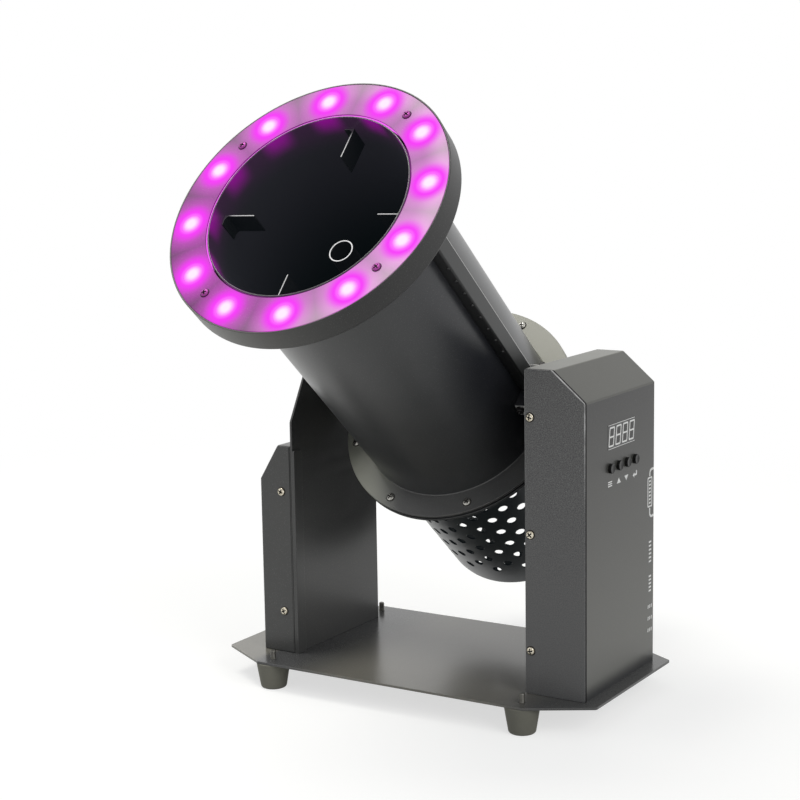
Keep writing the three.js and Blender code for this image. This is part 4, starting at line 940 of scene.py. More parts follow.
panel = oblong(panel_y[0] - border, panel_z[0] - border, panel_y[1] + border, panel_z[1] + border)
opening = oblong(panel_y[0] + border, panel_z[0] + border, panel_y[1] - border, panel_z[1] - border)
sign(eased(panel, 1.6, 3), [eased(opening, 0.6, 3)])
for index in range(panel_lines):
    z = panel_z[0] + (index + 1) * (panel_z[1] - panel_z[0]) / (panel_lines + 1)
    mark([(panel_y[0] + panel_margin, z), (panel_y[1] - panel_margin, z)], tick_stroke)
for bottom, top, count in tick_rows:
    for index in range(count):
        z = bottom + index * (top - bottom) / (count - 1)
        level_mark(tick_y, z, tick_half, tick_stroke)
for z in dash_rows:
    for y in (tick_y - dash_pitch, tick_y, tick_y + dash_pitch):
        mark([(y - dash_half_y, z - dash_half_z), (y + dash_half_y, z + dash_half_z)], dash_stroke)
piece("printed_marks", form, deck, "base", print_white, "display_pane")

# Buttons: four round black caps through the outer face, each on a spring-loaded switch. A collar behind the
# sheet keeps each one in.
button_front = 200.3
button_inner = 188.5
button_head = 4.8
button_lift = 0.75
keeper_radius = 4.8
keeper_back = 192.5
keeper_front = 193.7

plastic, place = material("black_plastic")
leather = place.noise(1600, 2.0)
sheen = place.noise(25, 2.0)
place.surface({
    "Base Color": sheen.blend(shade(12, 12, 12), shade(19, 19, 19)),
    "Roughness": leather * 0.2 + 0.24,
    "Specular IOR Level": 0.25,
    "Normal": leather.relief(0.12, 0.0001),
})

for index, y in enumerate(button_places):
    form = bmesh.new()
    cap = [
        (0, button_inner),
        (button_radius, button_inner),
        (button_radius, keeper_back),
        (keeper_radius, keeper_back),
        (keeper_radius, keeper_front),
        (button_radius, keeper_front),
        (button_radius, box_end + button_lift),
        (button_head, box_end + button_lift),
        *arc(button_head - 0.5, button_front - 0.5, 0.5, 0, 90, 4),
        (button_head * 0.7, button_front - 0.3),
        (0, button_front - 0.6),
    ]
    spun(form, cap, at(0, y, button_z) @ turned(90, "Y"), 40)
    number = str(index + 1)
    piece("button_cap_" + number, form, deck, "key_" + number, plastic, "black_plastic", "button_" + number)

# Boards: green fibreglass boards with tinned tracks, two on posts in the control box and a ring of the same
# for the lamps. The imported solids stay.
board, place = material("circuit_board")
track_values = {"Vector": place, "Scale": 300.0, "Mortar Size": 0.03}
tracks = place.node("TexBrick", {"offset": 0.37, "squash": 0.7}, track_values, "Fac")
lacquer = place.noise(120, 2.0)
lacquer_tone = lacquer.blend(shade(22, 74, 42), shade(34, 96, 56))
board_colour = tracks.blend(lacquer_tone, shade(150, 158, 140))
place.surface({
    "Base Color": board_colour,
    "Roughness": lacquer * 0.2 + 0.35,
    "Metallic": tracks * 0.5,
    "Normal": tracks.relief(0.2, 0.0001),
})
for node in ("display_board", "main_board", "led_board"):
    dress(node, board)

# Tilt bearings: an oval cast flange on the outside of each arm, bolted through its two ears, with a ball
# bearing pressed into its hub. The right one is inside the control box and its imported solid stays.
hub_radius = 19
ear_distance = 32
ear_radius = 9
bearing_face = -134.8
bearing_flange = 4
bearing_length = 9
shaft_bore = 10.3
hub_root = 1
hub_wall = 18.7
hub_lip = 15
seal_radius = 12.5
seal_depth = 1
ball_ring = 8.8

steel, place = material("bare_steel")
turning = place.noise(500, 2.0, 0.7)
oxide = place.noise(45, 3.0)
place.surface({
    "Base Color": oxide.blend(shade(140, 142, 144), shade(168, 169, 170)),
    "Metallic": 0.9,
    "Roughness": turning * 0.25 + 0.25,
    "Normal": turning.relief(0.12, 0.0001),
})

form = bmesh.new()
touch = math.degrees(math.acos((hub_radius - ear_radius) / ear_distance))
ears = arc(ear_distance, 0, ear_radius, -touch, touch, 16)
ears += arc(0, 0, hub_radius, touch, 180 - touch, 6)
ears += arc(-ear_distance, 0, ear_radius, 180 - touch, 180 + touch, 16)
ears += arc(0, 0, hub_radius, 180 + touch, 360 - touch, 6)
at_pivot = at(0, 0, pivot_height)
bore = circle(0, 0, shaft_bore)
sheet(form, ears, [bore], bearing_face - bearing_flange, bearing_face, 0.8, at_pivot @ along_x)
hub = eased(
    [
        (shaft_bore, hub_root),
        (hub_wall, hub_root),
        (hub_wall, bearing_length),
        (hub_lip, bearing_length),
        (hub_lip, bearing_length - seal_depth),
        (seal_radius, bearing_length - seal_depth),
        (seal_radius, ball_ring),
        (shaft_bore, ball_ring),
    ],
    [0.2, 0.2, 1, 0.4, 0.2, 0.2, 0.4, 0.4],
    3,
)
to_left = turned(-90, "Y")
spun(form, hub, at_pivot @ at(bearing_face, 0, 0) @ to_left, 64)
piece("left_bearing_block", form, deck, "base", steel, "bare_steel", "left_bearing")
dress("right_bearing", steel)

oiled_tones = ((40, 39, 40), (58, 56, 57))
black_steel = even_finish("blackened_screws", (700, 3.0), oiled_tones, 0.7, (0.2, 0.28), (0.15, 0.0001))

form = bmesh.new()
for side in (-1, 1):
    seat = at(bearing_face - bearing_flange, side * ear_distance, pivot_height)
    screw(form, pan_head, seat @ to_left, screw_shank, bearing_flange)
piece("left_bearing_screws", form, deck, "base", (black_steel, recess_shade), "nickel_screws")

# Tilt drive: a square motor on a bent steel bracket, with an aluminium pulley on its shaft and a larger one
# on the trunnion, joined by a rubber belt. All of it is inside the control box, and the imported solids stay.
turned_tones = ((176, 179, 181), (200, 202, 204))
aluminium = even_finish("bare_aluminium", (900, 2.0, 0.7), turned_tones, 0.9, (0.2, 0.25), (0.1, 0.0001))

belt, place = material("belt_rubber")
bands = {"wave_type": "BANDS", "bands_direction": "Z"}
teeth = place.node("TexWave", bands, {"Vector": place, "Scale": 90.0})
place.surface({
    "Base Color": teeth.blend(shade(20, 20, 20), shade(32, 32, 31)),
    "Roughness": teeth * 0.15 + 0.7,
    "Normal": teeth.relief(0.4, 0.0004),
})

inner_coat, place = material("inner_coat")
grain, specks = powder_grain(place)
inner_tone = place.noise(20, 2.0).blend(shade(30, 31, 33), shade(38, 39, 41))
inner_colour = (specks * 0.2).blend(inner_tone, shade(90, 90, 92))
place.surface({"Base Color": inner_colour, "Roughness": specks * 0.1 + 0.5, "Normal": grain})

dress("motor_bracket", steel)
dress("tilt_motor", inner_coat)
dress("motor_pulley", aluminium)
dress("tilt_pulley", aluminium)
dress("tilt_belt", belt)

# Mains sockets at the rear: a recessed inlet with three blades, and beside it an outlet for a second machine.
# Both are moulded of black plastic with a flange that two small screws hold to the shell.
rear_face = arm_half
flange_sheet = 2
mains_flange_x = 13.5
mains_flange_z = 25
mains_recess_x = 8.25
mains_recess_z = 12.25
mains_recess_depth = 15
mains_wall = 2
mains_depth = 25
mains_pins = ((2, 7), (2, -7), (-2, 0))
blade_half = (2, 1)
slot_half = (2.1, 1.1)
socket_front = rear_face + seat_gap + flange_sheet
mains_floor = socket_front - mains_recess_depth
to_rear = Matrix(((-1, 0, 0, 0), (0, 0, 1, 0), (0, 1, 0, 0), (0, 0, 0, 1)))
small_head = cross_head(2.6, 1.4, 1.7)


def mains_shape(x, core):
    """A mains socket's body and flange, hollowed; core is the outlet's inner block."""
    made = bmesh.new()
    flange = eased(about(-x, mains_z, mains_flange_x, mains_flange_z), 3)
    sheet(made, flange, (), rear_face + seat_gap, socket_front, 0.6, to_rear)
    body = eased(about(-x, mains_z, mains_half_x, mains_half_z), 1)
    shape = bmesh.new()
    sheet(shape, body, (), rear_face - mains_depth, socket_front - 0.1, 0.3, to_rear)
    recess = eased(about(-x, mains_z, mains_recess_x, mains_recess_z), [3.5, 0.8, 0.8, 3.5])
    for part in (made, shape):
        tool = bmesh.new()
        sheet(tool, recess, (), mains_floor, socket_front + 3, 0.1, to_rear)
        cut(part, tool)
    put(made, shape, Matrix())
    blades = [(-x - aside, mains_z + up) for aside, up in mains_pins]
    if core:
        inside = eased(about(-x, mains_z, mains_recess_x - mains_wall, mains_recess_z - mains_wall), 1)
        slots = [about(u, v, *slot_half) for u, v in blades]
        sheet(made, inside, slots, mains_floor, socket_front - 0.2, 0.2, to_rear)
    return made, blades


form, blades = mains_shape(mains_x[0], False)
piece("mains_inlet", form, deck, "base", plastic, "black_plastic", "power_inlet")
pins = bmesh.new()
for u, v in blades:
    sheet(pins, about(u, v, *blade_half), (), mains_floor, socket_front - 4, 0.3, to_rear)
form, blades = mains_shape(mains_x[1], True)
piece("mains_outlet", form, deck, "base", plastic, "black_plastic", "power_outlet")
piece("mains_blades", pins, deck, "base", nickel, "nickel_screws")

# Signal sockets and fuse: round three-pole sockets with square nickel-plated flanges, one with pins and one
# with holes, and a panel fuse holder with a black screw cap.
signal_flange_x = 13
signal_flange_z = 15.5
signal_body = 11.8
signal_recess = 9.5
signal_depth = 14
signal_core = 7.6
signal_length = 24
signal_floor = socket_front - signal_depth
pin_circle = 3.8
pin_radius = 1.1
pin_hole = 1.5
signal_screws = ((-9.8, 12), (9.8, -12))
mains_screws = ((0, -19.5), (0, 19.5))
small_shank = 1.4
small_length = 6
fuse_radius = 6
fuse_depth = 28
fuse_neck = 4
fuse_cap = 7.5
fuse_cap_length = 9
fuse_slot_x = 5
fuse_slot_z = 0.7
fuse_slot_y = (7, 12)
rearward = turned(-90, "X")

satin_nickel, place = material("satin_nickel")
x, y, z = on_deck(place)
satin_grain = place.noise(900, 3.0, 0.6)
handled = place.noise(90, 3.0)
# Painted shade: the sockets' metal is painted dark deep inside their recesses.
socket_depth_shade = y.fade(signal_floor + 4, socket_front - 1.5)
satin_colour = handled.blend(shade(150, 148, 142), shade(166, 164, 157))
place.surface({
    "Base Color": socket_depth_shade.blend(satin_colour, shade(52, 51, 49)),
    "Metallic": 1.0,
    "Roughness": handled * 0.14 + satin_grain * 0.06 + 0.26,
    "Normal": satin_grain.relief(0.05, 0.00004),
})

form = bmesh.new()
holes = bmesh.new()
screws = bmesh.new()
signal_pins = bmesh.new()
for x in mains_x:
    flange = eased(about(-x, signal_z, signal_flange_x, signal_flange_z), 3)
    opening = circle(-x, signal_z, signal_recess + 0.6)
    sheet(form, flange, [opening], rear_face + seat_gap, socket_front, 0.6, to_rear)
    seat = at(x, socket_front, signal_z) @ rearward
    spun(form, eased(oblong(signal_recess, -signal_depth, signal_body, -0.2), 0.4, 3), seat, 56)
    spun(form, oblong(0, -signal_length, signal_body, -signal_depth), seat, 56)
    poles = arc(-x, signal_z, pin_circle, 90, 330, 2)
    if x == mains_x[0]:
        for u, v in poles:
            pin = circle(u, v, pin_radius, 16)
            sheet(signal_pins, pin, (), signal_floor, socket_front - 3, 0.4, to_rear)
    else:
        pin_holes = [circle(u, v, pin_hole, 16) for u, v in poles]
        core = circle(-x, signal_z, signal_core)
        sheet(holes, core, pin_holes, signal_floor, socket_front - 0.3, 0.3, to_rear)
for z, places in ((signal_z, signal_screws), (mains_z, mains_screws)):
    for x in mains_x:
        for aside, up in places:
            seat = at(x + aside, socket_front, z + up) @ rearward
            screw(screws, small_head, seat, small_shank, small_length)
put(form, signal_pins, Matrix())
socket_nodes = ["signal_input", "signal_output"]
piece("signal_socket_shells", form, deck, "base", satin_nickel, "socket_metal", *socket_nodes)
piece("signal_core", holes, deck, "base", plastic, "black_plastic")
piece("socket_screws", screws, deck, "base", (black_steel, recess_shade), "nickel_screws")

form = bmesh.new()
seat = at(fuse_x, rear_face, fuse_z) @ rearward
spun(form, oblong(0, -fuse_depth, fuse_radius, fuse_neck), seat, 40)
shape = bmesh.new()
spun(shape, eased(oblong(0, seat_gap, fuse_cap, fuse_cap_length), [0, 0.4, 1.2, 0], 3), seat, 48)
tool = bmesh.new()
slot_low = (fuse_x - fuse_slot_x, rear_face + fuse_slot_y[0], fuse_z - fuse_slot_z)
slot_high = (fuse_x + fuse_slot_x, rear_face + fuse_slot_y[1], fuse_z + fuse_slot_z)
block(tool, slot_low, slot_high, 0.1)
cut(shape, tool)
put(form, shape, Matrix())
piece("fuse_cap", form, deck, "base", plastic, "black_plastic", "fuse_holder")

# Barrel tube: a rolled steel tube, welded along its seam, with a flange at its rear end. Coated outside like
# the frame, and nearly black inside, with a painted glow near the mouth that is purple beside the lamps.
tilt = next(joint for joint in frame["joints"] if joint["name"] == "barrel_tilt")
elevation = 40.5
lay_back = math.radians(90 - elevation)
barrel = Matrix.Translation(Vector(tilt["pos_m"]) / MM) @ Matrix.Rotation(lay_back, 4, "X")
tube_radius = 100
tube_inner = 98.5
tube_back = -41.6
mouth = 306
flange_radius = 124.3
flange_front = -38.6
led_circle = 119.5
led_count = 12
led_start = 12
rim_steps = 144
bead = 1.4
bead_inset = 0.5


def on_barrel(place):
    """The place in the barrel's own frame: across, up, and along it from the tilt axis."""
    return measured(place, tilt["pos_m"], (lay_back, 0, 0))


def near_lamps(x, y):
    """How far out a place is, and how far it is from the nearest lamp's middle, in the ring's plane."""
    radius = (x * x + y * y).math("SQRT")
    pitch = 2 * math.pi / led_count
    turn = y.math("ARCTAN2", x) - math.radians(led_start) + pitch / 2
    aside = turn.math("FLOORED_MODULO", pitch) - pitch / 2
    square = radius * radius + led_circle ** 2 - radius * aside.math("COSINE") * (2 * led_circle)
    return radius, square.math("MAXIMUM", 0.0).math("SQRT"), aside


def weld(form, radius, height, start):
    """A bead of weld round the barrel, a quarter of a round in section."""
    section = [(radius, height), *arc(radius, height, bead, start, start + 90, 4)]
    spun(form, section, Matrix(), rim_steps)


no_glow = (0.0, 0.0, 0.0, 1.0)

barrel_coat, place = material("barrel_coat")
grain, specks = powder_grain(place)
x, y, along = on_barrel(place)
radius, lamp, aside = near_lamps(x, y)
cloud = place.noise(14, 3.0)
tube_tone = cloud.blend(shade(61, 62, 64), shade(71, 72, 72))
# Painted shadow of the control box: the tube's lower right side is painted dark navy.
painted_box_shadow = x.fade(100, 60) * y.fade(-4, 12) * along.fade(262, 278) * along.fade(-36, -38) * 0.8
outside = (specks * 0.2).blend(painted_box_shadow.blend(tube_tone, shade(22, 24, 32)), shade(140, 140, 138))
within = cloud.blend(shade(24, 27, 29), shade(30, 32, 34))
bore_side = radius < 98.9
# Painted light on the inside: an emission glow, purple round each lamp near the mouth, and a faint grey one
# fading deeper in.
beside = aside.math("ABSOLUTE").fade(0.03, 0.2)
depth = (along - mouth) * -1
wash = depth.fade(-4, 40) * 0.1 + depth.fade(-4, 24) * beside * 1.1
deep_glow = depth.fade(5, 190).blend(shade(7, 11, 13), shade(28, 28, 33))
bore_glow = wash.math("MINIMUM", 1.0).blend(deep_glow, shade(122, 8, 124))
place.surface({
    "Base Color": bore_side.blend(outside, within),
    "Roughness": cloud * 0.1 + 0.25,
    "Normal": grain,
    "Emission Color": bore_side.blend(no_glow, bore_glow),
    "Emission Strength": 1.0,
})

form = bmesh.new()
tube = oblong(tube_inner, tube_back, tube_radius, mouth - seat_gap)
spun(form, eased(tube, [0.4, 0.4, 0.6, 0.6], 3), Matrix(), rim_steps)
piece("barrel_shell", form, barrel, "barrel", barrel_coat, "powder_coat", "barrel_tube")

flange_coat, place = material("flange_coat")
grain, specks = powder_grain(place)
x, y, along = on_barrel(place)
cloud = place.noise(14, 3.0)
# Painted light: the flange is painted lighter and beige on its upper half, and lightest on its left side.
upper_lit_tone = y.fade(60, 0).blend(shade(84, 84, 84), shade(116, 116, 101))
side_lit_flange_tone = x.fade(-70, -20).blend(upper_lit_tone, shade(146, 147, 136))
place.surface({
    "Base Color": (specks * 0.2 + cloud * 0.1).blend(side_lit_flange_tone, shade(150, 150, 146)),
    "Roughness": cloud * 0.1 + 0.3,
    "Normal": grain,
})

form = bmesh.new()
flange = oblong(tube_radius, tube_back, flange_radius, flange_front)
spun(form, eased(flange, [0, 0.6, 0.6, 0], 3), Matrix(), rim_steps)
weld(form, tube_radius - bead_inset, flange_front - bead_inset, 0)
piece("barrel_rear_flange", form, barrel, "barrel", flange_coat, "powder_coat", "barrel_flange")

# Motor plate: a disc clamped between the barrel's flange and the guard's, pierced for the motor's shaft and
# for the air that the blower draws in. Coated near black.
plate_radius = 121
plate_back = -44.3
plate_front = -41.9
intake_radius = 11
intake_circle = 58
intake_count = 6
motor_hole = 8


def around(count, start=0.0):
    """Turns about the barrel's axis, evenly spaced."""
    return [turned(start + index * 360 / count, "Z") for index in range(count)]


def holes_round(count, start, distance, radius, steps=40):
    """Round holes, evenly spaced about the barrel's axis."""
    middles = [turn @ Vector((distance, 0, 0)) for turn in around(count, start)]
    return [circle(middle.x, middle.y, radius, steps) for middle in middles]


form = bmesh.new()
disc_holes = [circle(0, 0, motor_hole), *holes_round(intake_count, 0.0, intake_circle, intake_radius)]
sheet(form, circle(0, 0, plate_radius, rim_steps), disc_holes, plate_back, plate_front, 0.3)
piece("motor_bulkhead", form, barrel, "barrel", inner_coat, "inner_coat", "motor_plate")

# Flange screws: eight dull nickel-plated machine screws that clamp the two flanges and the motor plate, with
# their heads to the front and hexagon nuts behind.
clamp_circle = 114
clamp_count = 8
clamp_start = 25.2
guard_flange_back = -47.6
nut_flats = 3.5
nut_height = 3.2
clamp_length = 12.5

dull_tones = ((205, 204, 198), (130, 128, 122))
dull_nickel = even_finish("dull_nickel", (700, 3.0, 0.6), dull_tones, 0.9, (0.2, 0.18), (0.15, 0.0001))
clamp_head = cross_head(screw_head, 2.4, screw_cross)


def nut(form, turn, flats=nut_flats, height=nut_height):
    """A hexagon nut seated at height 0."""
    hexagon = arc(0, 0, flats / math.cos(math.radians(30)), 0, 300, 5)
    sheet(form, hexagon, [circle(0, 0, flats * 0.55, 20)], 0, height, 0.35, turn)


form = bmesh.new()
for index, turn in enumerate(around(clamp_count, clamp_start)):
    seat = turn @ at(clamp_circle, 0, flange_front)
    screw(form, clamp_head, seat @ turned(37 * index, "Z"), screw_shank, clamp_length)
    nut(form, turn @ at(clamp_circle, 0, guard_flange_back) @ turned(180, "X"))
piece("flange_screws", form, barrel, "barrel", (dull_nickel, recess_shade), "nickel_screws")

# Ring housing: a spun steel pan round the mouth, 26 mm deep, with four posts inside that carry the lamps'
# board and the face. Coated like the barrel.
ring_back = 280.2
ring_radius = 138.6
ring_sheet = 1.5
ring_bend = 2.4
post_radius = 4
post_shoulder = 6
post_low = 0.6
post_step = 9.5
post_top = 24
post_start = 56.6
post_count = 4

pan_coat, place = material("pan_coat")
grain, specks = powder_grain(place)
x, y, along = on_barrel(place)
cloud = place.noise(14, 3.0)
# Painted light: the pan is painted lighter towards its left side and darker towards its right.
side_lit_pan_tone = (x.fade(-120, 120) * 0.9 + cloud * 0.1).blend(shade(42, 42, 43), shade(122, 122, 118))
place.surface({
    "Base Color": (specks * 0.2).blend(side_lit_pan_tone, shade(150, 150, 148)),
    "Roughness": cloud * 0.1 + 0.34,
    "Specular IOR Level": 0.3,
    "Normal": grain,
})

form = bmesh.new()
pan = eased(
    [
        (tube_radius + seat_gap, ring_back),
        (ring_radius, ring_back),
        (ring_radius, mouth),
        (ring_radius - ring_sheet, mouth),
        (ring_radius - ring_sheet, ring_back + ring_sheet),
        (tube_radius + seat_gap, ring_back + ring_sheet),
    ],
    [0.4, ring_bend, 0.6, 0.4, 1, 0.4],
    4,
)
spun(form, pan, Matrix(), rim_steps)
post = eased(
    [
        (0, post_low),
        (post_shoulder, post_low),
        (post_shoulder, post_step),
        (post_radius, post_step),
        (post_radius, post_top),
        (0, post_top),
    ],
    [0, 0, 0.5, 0.3, 0.3, 0],
    2,
)
for turn in around(post_count, post_start):
    spun(form, post, turn @ at(led_circle, 0, ring_back), 24)
piece("ring_pan", form, barrel, "barrel", pan_coat, "powder_coat", "ring_housing")

# Ring face: a flat annular plate in the mouth of the pan, with a hole for each of the twelve lamps. The coat
# is washed with the lamps' magenta light, strongest round each hole.
face_inner = 101.5
face_outer = 136.8
face_sheet = 1.5
lamp_hole = 9.4
ring_screw_head = (3.9, 2, 3)
ring_screw_shank = 1.8
ring_screw_length = 8

ring_coat, place = material("lit_ring_coat")
grain, specks = powder_grain(place)
x, y, along = on_barrel(place)
radius, lamp, aside = near_lamps(x, y)
# Painted light: the face is painted lighter on its right, with a painted sheen low on the right and high on
# the left, lighter towards its outer edge, and the lamps' light painted round each hole as an emission glow.
sunny = (x + y * 0.15).fade(150, -95)
sheen = ((x - y * 0.6).fade(155, 60) * 0.55).math("MAXIMUM", (y - x * 0.6).fade(180, 40) * 0.2)
front = along > mouth - 0.5
near = lamp.fade(12, 24)
close = lamp.fade(9, 13.5)
inner_wash = radius.fade(104, 124) * 0.6
even_wash = inner_wash.blend(sunny.blend(shade(98, 10, 96), shade(108, 30, 104)), shade(140, 12, 138))
wash = lamp.fade(17, 40).blend(even_wash, shade(178, 22, 174))
halo = close.blend(near.blend(wash, shade(246, 48, 248)), shade(252, 104, 254))
outer_tone = radius.fade(134, 112).blend(shade(104, 102, 102), shade(168, 162, 162))
lit_tone = sheen.blend(sunny.blend(shade(38, 36, 38), outer_tone), shade(182, 176, 174))
ring_tone = (specks * 0.3).blend(lit_tone, shade(150, 150, 150))
place.surface({
    "Base Color": near.blend(ring_tone, shade(6, 1, 6)),
    "Roughness": near * 0.4 + (specks * 0.1 + 0.5),
    "Specular IOR Level": 0.3,
    "Normal": grain,
    "Emission Color": front.blend(shade(40, 8, 40), halo),
    "Emission Strength": 1.0,
})
# Painted light on the ring's screws: the lamps' magenta light is painted into the nickel's colour and a faint
# emission glow.
lit_nickel, place = material("lit_nickel")
tarnish = place.noise(800, 3.0, 0.6)
place.surface({
    "Base Color": tarnish.blend(shade(150, 76, 142), shade(96, 36, 90)),
    "Metallic": 0.9,
    "Roughness": tarnish * 0.2 + 0.3,
    "Normal": tarnish.relief(0.15, 0.0001),
    "Emission Color": shade(72, 14, 66),
    "Emission Strength": 1.0,
})

form = bmesh.new()
face_holes = [circle(0, 0, face_inner, rim_steps), *holes_round(led_count, led_start, led_circle, lamp_hole)]
sheet(form, circle(0, 0, face_outer, rim_steps), face_holes, mouth - face_sheet, mouth, 0.35)
piece("ring_front", form, barrel, "barrel", ring_coat, "powder_coat", "ring_face")

form = bmesh.new()
face_head = cross_head(*ring_screw_head)
for index, turn in enumerate(around(post_count, post_start)):
    seat = turn @ at(led_circle, 0, mouth) @ turned(29 * index, "Z")
    screw(form, face_head, seat, ring_screw_shank, ring_screw_length)
piece("ring_screws", form, barrel, "barrel", (lit_nickel, recess_shade), "nickel_screws")

# Lamps: twelve flared lenses of one clear moulding over the light-emitting chips, all lit magenta, with a
# nearly white middle.
lens_radius = 9.35
lens_front = 306
lens_dome = 0.4
lens_back = 293.2
lens_waist = 6
lens_flare = 303
web_outer = 133.8
web_inner = 103.6
web_back = 293.1
web_front = 294.6
web_post_hole = 4.3

lens, place = material("lit_lenses")
x, y, along = on_barrel(place)
radius, lamp, aside = near_lamps(x, y)
facets = place.noise(700, 1.0)
core = (lamp + facets * 1.2).fade(3.5, 10.5)
place.surface({
    "Base Color": shade(6, 1, 6),
    "Roughness": facets * 0.1 + 0.8,
    "Normal": facets.relief(0.1, 0.0002),
    "Emission Color": core.blend(shade(252, 108, 254), shade(255, 232, 254)),
    "Emission Strength": 1.0,
})

form = bmesh.new()
dome = domed(lens_radius, lens_front - lens_dome, lens_dome, 6)
flare = [(0, lens_back), (lens_waist, lens_back), (lens_radius, lens_flare), *dome, (0, lens_front)]
for turn in around(led_count, led_start):
    spun(form, flare, turn @ at(led_circle, 0, 0), 40)
web_holes = [circle(0, 0, web_inner, 96), *holes_round(post_count, post_start, led_circle, web_post_hole, 16)]
sheet(form, circle(0, 0, web_outer, 96), web_holes, web_back, web_front, 0.2)
piece("lamp_lenses", form, barrel, "barrel", lens, "led_lens", "led_lenses")

# Inner tabs: four L-shaped steel tabs on the tube's inner wall behind the mouth, about a quarter turn apart.
# Each has a leg towards the axis and a foot welded to the wall.
tab_inner = 65.5
tab_back = 267
tab_front = 290
tab_sheet = 1.1
tab_foot = 10.6
tab_turns = (1.2, 88.5, 181.5, 269)
wall_radius = 98.2

tab_coat, place = material("tab_coat")
grain, specks = powder_grain(place)
x, y, along = on_barrel(place)
radius, lamp, aside = near_lamps(x, y)
# Painted highlight along each tab's front edge, brightest at the leg's tip, with a glow painted in the
# emission; the rest of each tab has a faint painted glow.
lit_front_edge = along.fade(289.95, 289.7)
front_highlight_tone = radius.fade(88, 96).blend(shade(52, 46, 54), shade(180, 180, 180))
tab_tone = (specks * 0.2).blend(shade(22, 23, 25), shade(70, 70, 72))
edge_glow = radius.fade(88, 95).blend(shade(38, 34, 40), shade(116, 116, 116))
tab_glow = lit_front_edge.blend(shade(6, 9, 11), edge_glow)
place.surface({
    "Base Color": lit_front_edge.blend(tab_tone, front_highlight_tone),
    "Roughness": specks * 0.1 + 0.4,
    "Normal": grain,
    "Emission Color": tab_glow,
    "Emission Strength": 1.0,
})

tab_wall = wall_radius - tab_sheet
foot_turn = math.degrees(math.asin(tab_foot / wall_radius))
tab_section = [
    (tab_inner, 0),
    *arc(0, 0, wall_radius, 0, foot_turn, 6),
    *arc(0, 0, tab_wall, foot_turn, 3, 5),
    (tab_wall - 1.6, tab_sheet + 0.8),
    (tab_wall - 3, tab_sheet),
    (tab_inner, tab_sheet),
]
for index, tab_turn in enumerate(tab_turns):
    form = bmesh.new()
    sheet(form, tab_section, (), tab_back, tab_front, 0.3, turned(tab_turn, "Z"))
    number = str(index + 1)
    piece("tab_" + number, form, barrel, "barrel", tab_coat, "inner_coat", "inner_tab_" + number)

# Air tube and blower housing: a moulded black cup round the impeller whose front narrows to a spigot, and a
# slim steel tube on it that carries the air jet up the barrel.
air_radius = 12
air_wall = 1.2
air_back = 20.3
air_front = 236
cup_radius = 71
cup_wall = 2
cup_shoulder = 8
cup_front = 20
spigot_radius = 10.5
spigot_end = 45
rib_count = 8
rib_start = 22.5
rib_height = 2
rib_back = -40
rib_bend = -4
rib_front = 6

pipe_coat, place = material("pipe_coat")
grain, specks = powder_grain(place)
x, y, along = on_barrel(place)
# Painted highlight: the tube's front end is painted near white with a glow in the emission, and the rest of
# the tube has a faint painted glow.
lit_cut_end = along > air_front - 0.3
pipe_tone = (specks * 0.2).blend(shade(24, 26, 28), shade(80, 80, 82))
place.surface({
    "Base Color": lit_cut_end.blend(pipe_tone, shade(225, 225, 225)),
    "Roughness": specks * 0.1 + 0.4,
    "Normal": grain,
    "Emission Color": lit_cut_end.blend(shade(8, 10, 12), shade(165, 165, 165)),
    "Emission Strength": 1.0,
})

form = bmesh.new()
air = oblong(air_radius - air_wall, air_back, air_radius, air_front)
spun(form, eased(air, 0.4, 3), Matrix(), 56)
piece("air_pipe", form, barrel, "barrel", pipe_coat, "inner_coat", "air_tube")

form = bmesh.new()
cup = eased(
    [
        (cup_radius - cup_wall, tube_back),
        (cup_radius, tube_back),
        (cup_radius, cup_shoulder),
        (air_radius + cup_wall, cup_front),
        (spigot_radius, cup_front),
        (spigot_radius, spigot_end),
        (spigot_radius - ring_sheet, spigot_end),
        (spigot_radius - ring_sheet, cup_front - cup_wall),
        (cup_radius - cup_wall, cup_shoulder - cup_wall),
    ],
    [0.4, 0.4, 4, 1, 0.2, 0.4, 0.4, 1, 3],
    4,
)
spun(form, cup, Matrix(), 96)
rib_root = cup_radius - 0.5
rib_crest = cup_radius + rib_height
rib = [(rib_root, rib_back), (rib_crest, rib_back), (rib_crest, rib_bend), (rib_root, rib_front)]
for turn in around(rib_count, rib_start):
    sheet(form, rib, (), -1, 1, 0.3, turn @ turned(90, "X"))
piece("blower_cup", form, barrel, "barrel", plastic, "black_plastic", "blower_housing")

# Blower motor and impeller: a drawn steel can behind the motor plate with a ribbed end bell, and on its shaft
# an aluminium impeller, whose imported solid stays.
can_radius = 45
can_back = -129.6
can_front = -44.6
shaft_radius = 4
shaft_end = -8
bell_radius = 36
bell_back = -126.6
bell_band = -105.6
boss_radius = 9
bell_ribs = 8
bell_rib_low = (20, -2.5, -128)
bell_rib_high = (34, 2.5, -126.4)

form = bmesh.new()
can = eased(
    [
        (0, can_back),
        (boss_radius, can_back),
        (boss_radius, bell_back),
        (bell_radius, bell_back),
        (bell_radius, can_back + 1.5),
        (can_radius, can_back + 8),
        (can_radius, bell_band),
        (can_radius - 1, bell_band),
        (can_radius - 1, can_front - 20),
        (can_radius, can_front - 20),
        (can_radius, can_front),
        (shaft_radius, can_front),
        (shaft_radius, shaft_end),
        (0, shaft_end),
    ],
    [0, 1, 0.4, 0.6, 0.8, 3, 0.4, 0.4, 0.4, 0.4, 1, 0, 0.5, 0],
    3,
)
spun(form, can, Matrix(), 72)
for turn in around(bell_ribs):
    block(form, bell_rib_low, bell_rib_high, 0.5, turn)
piece("motor_can", form, barrel, "barrel", steel, "bare_steel", "blower_motor")
dress("impeller", aluminium)

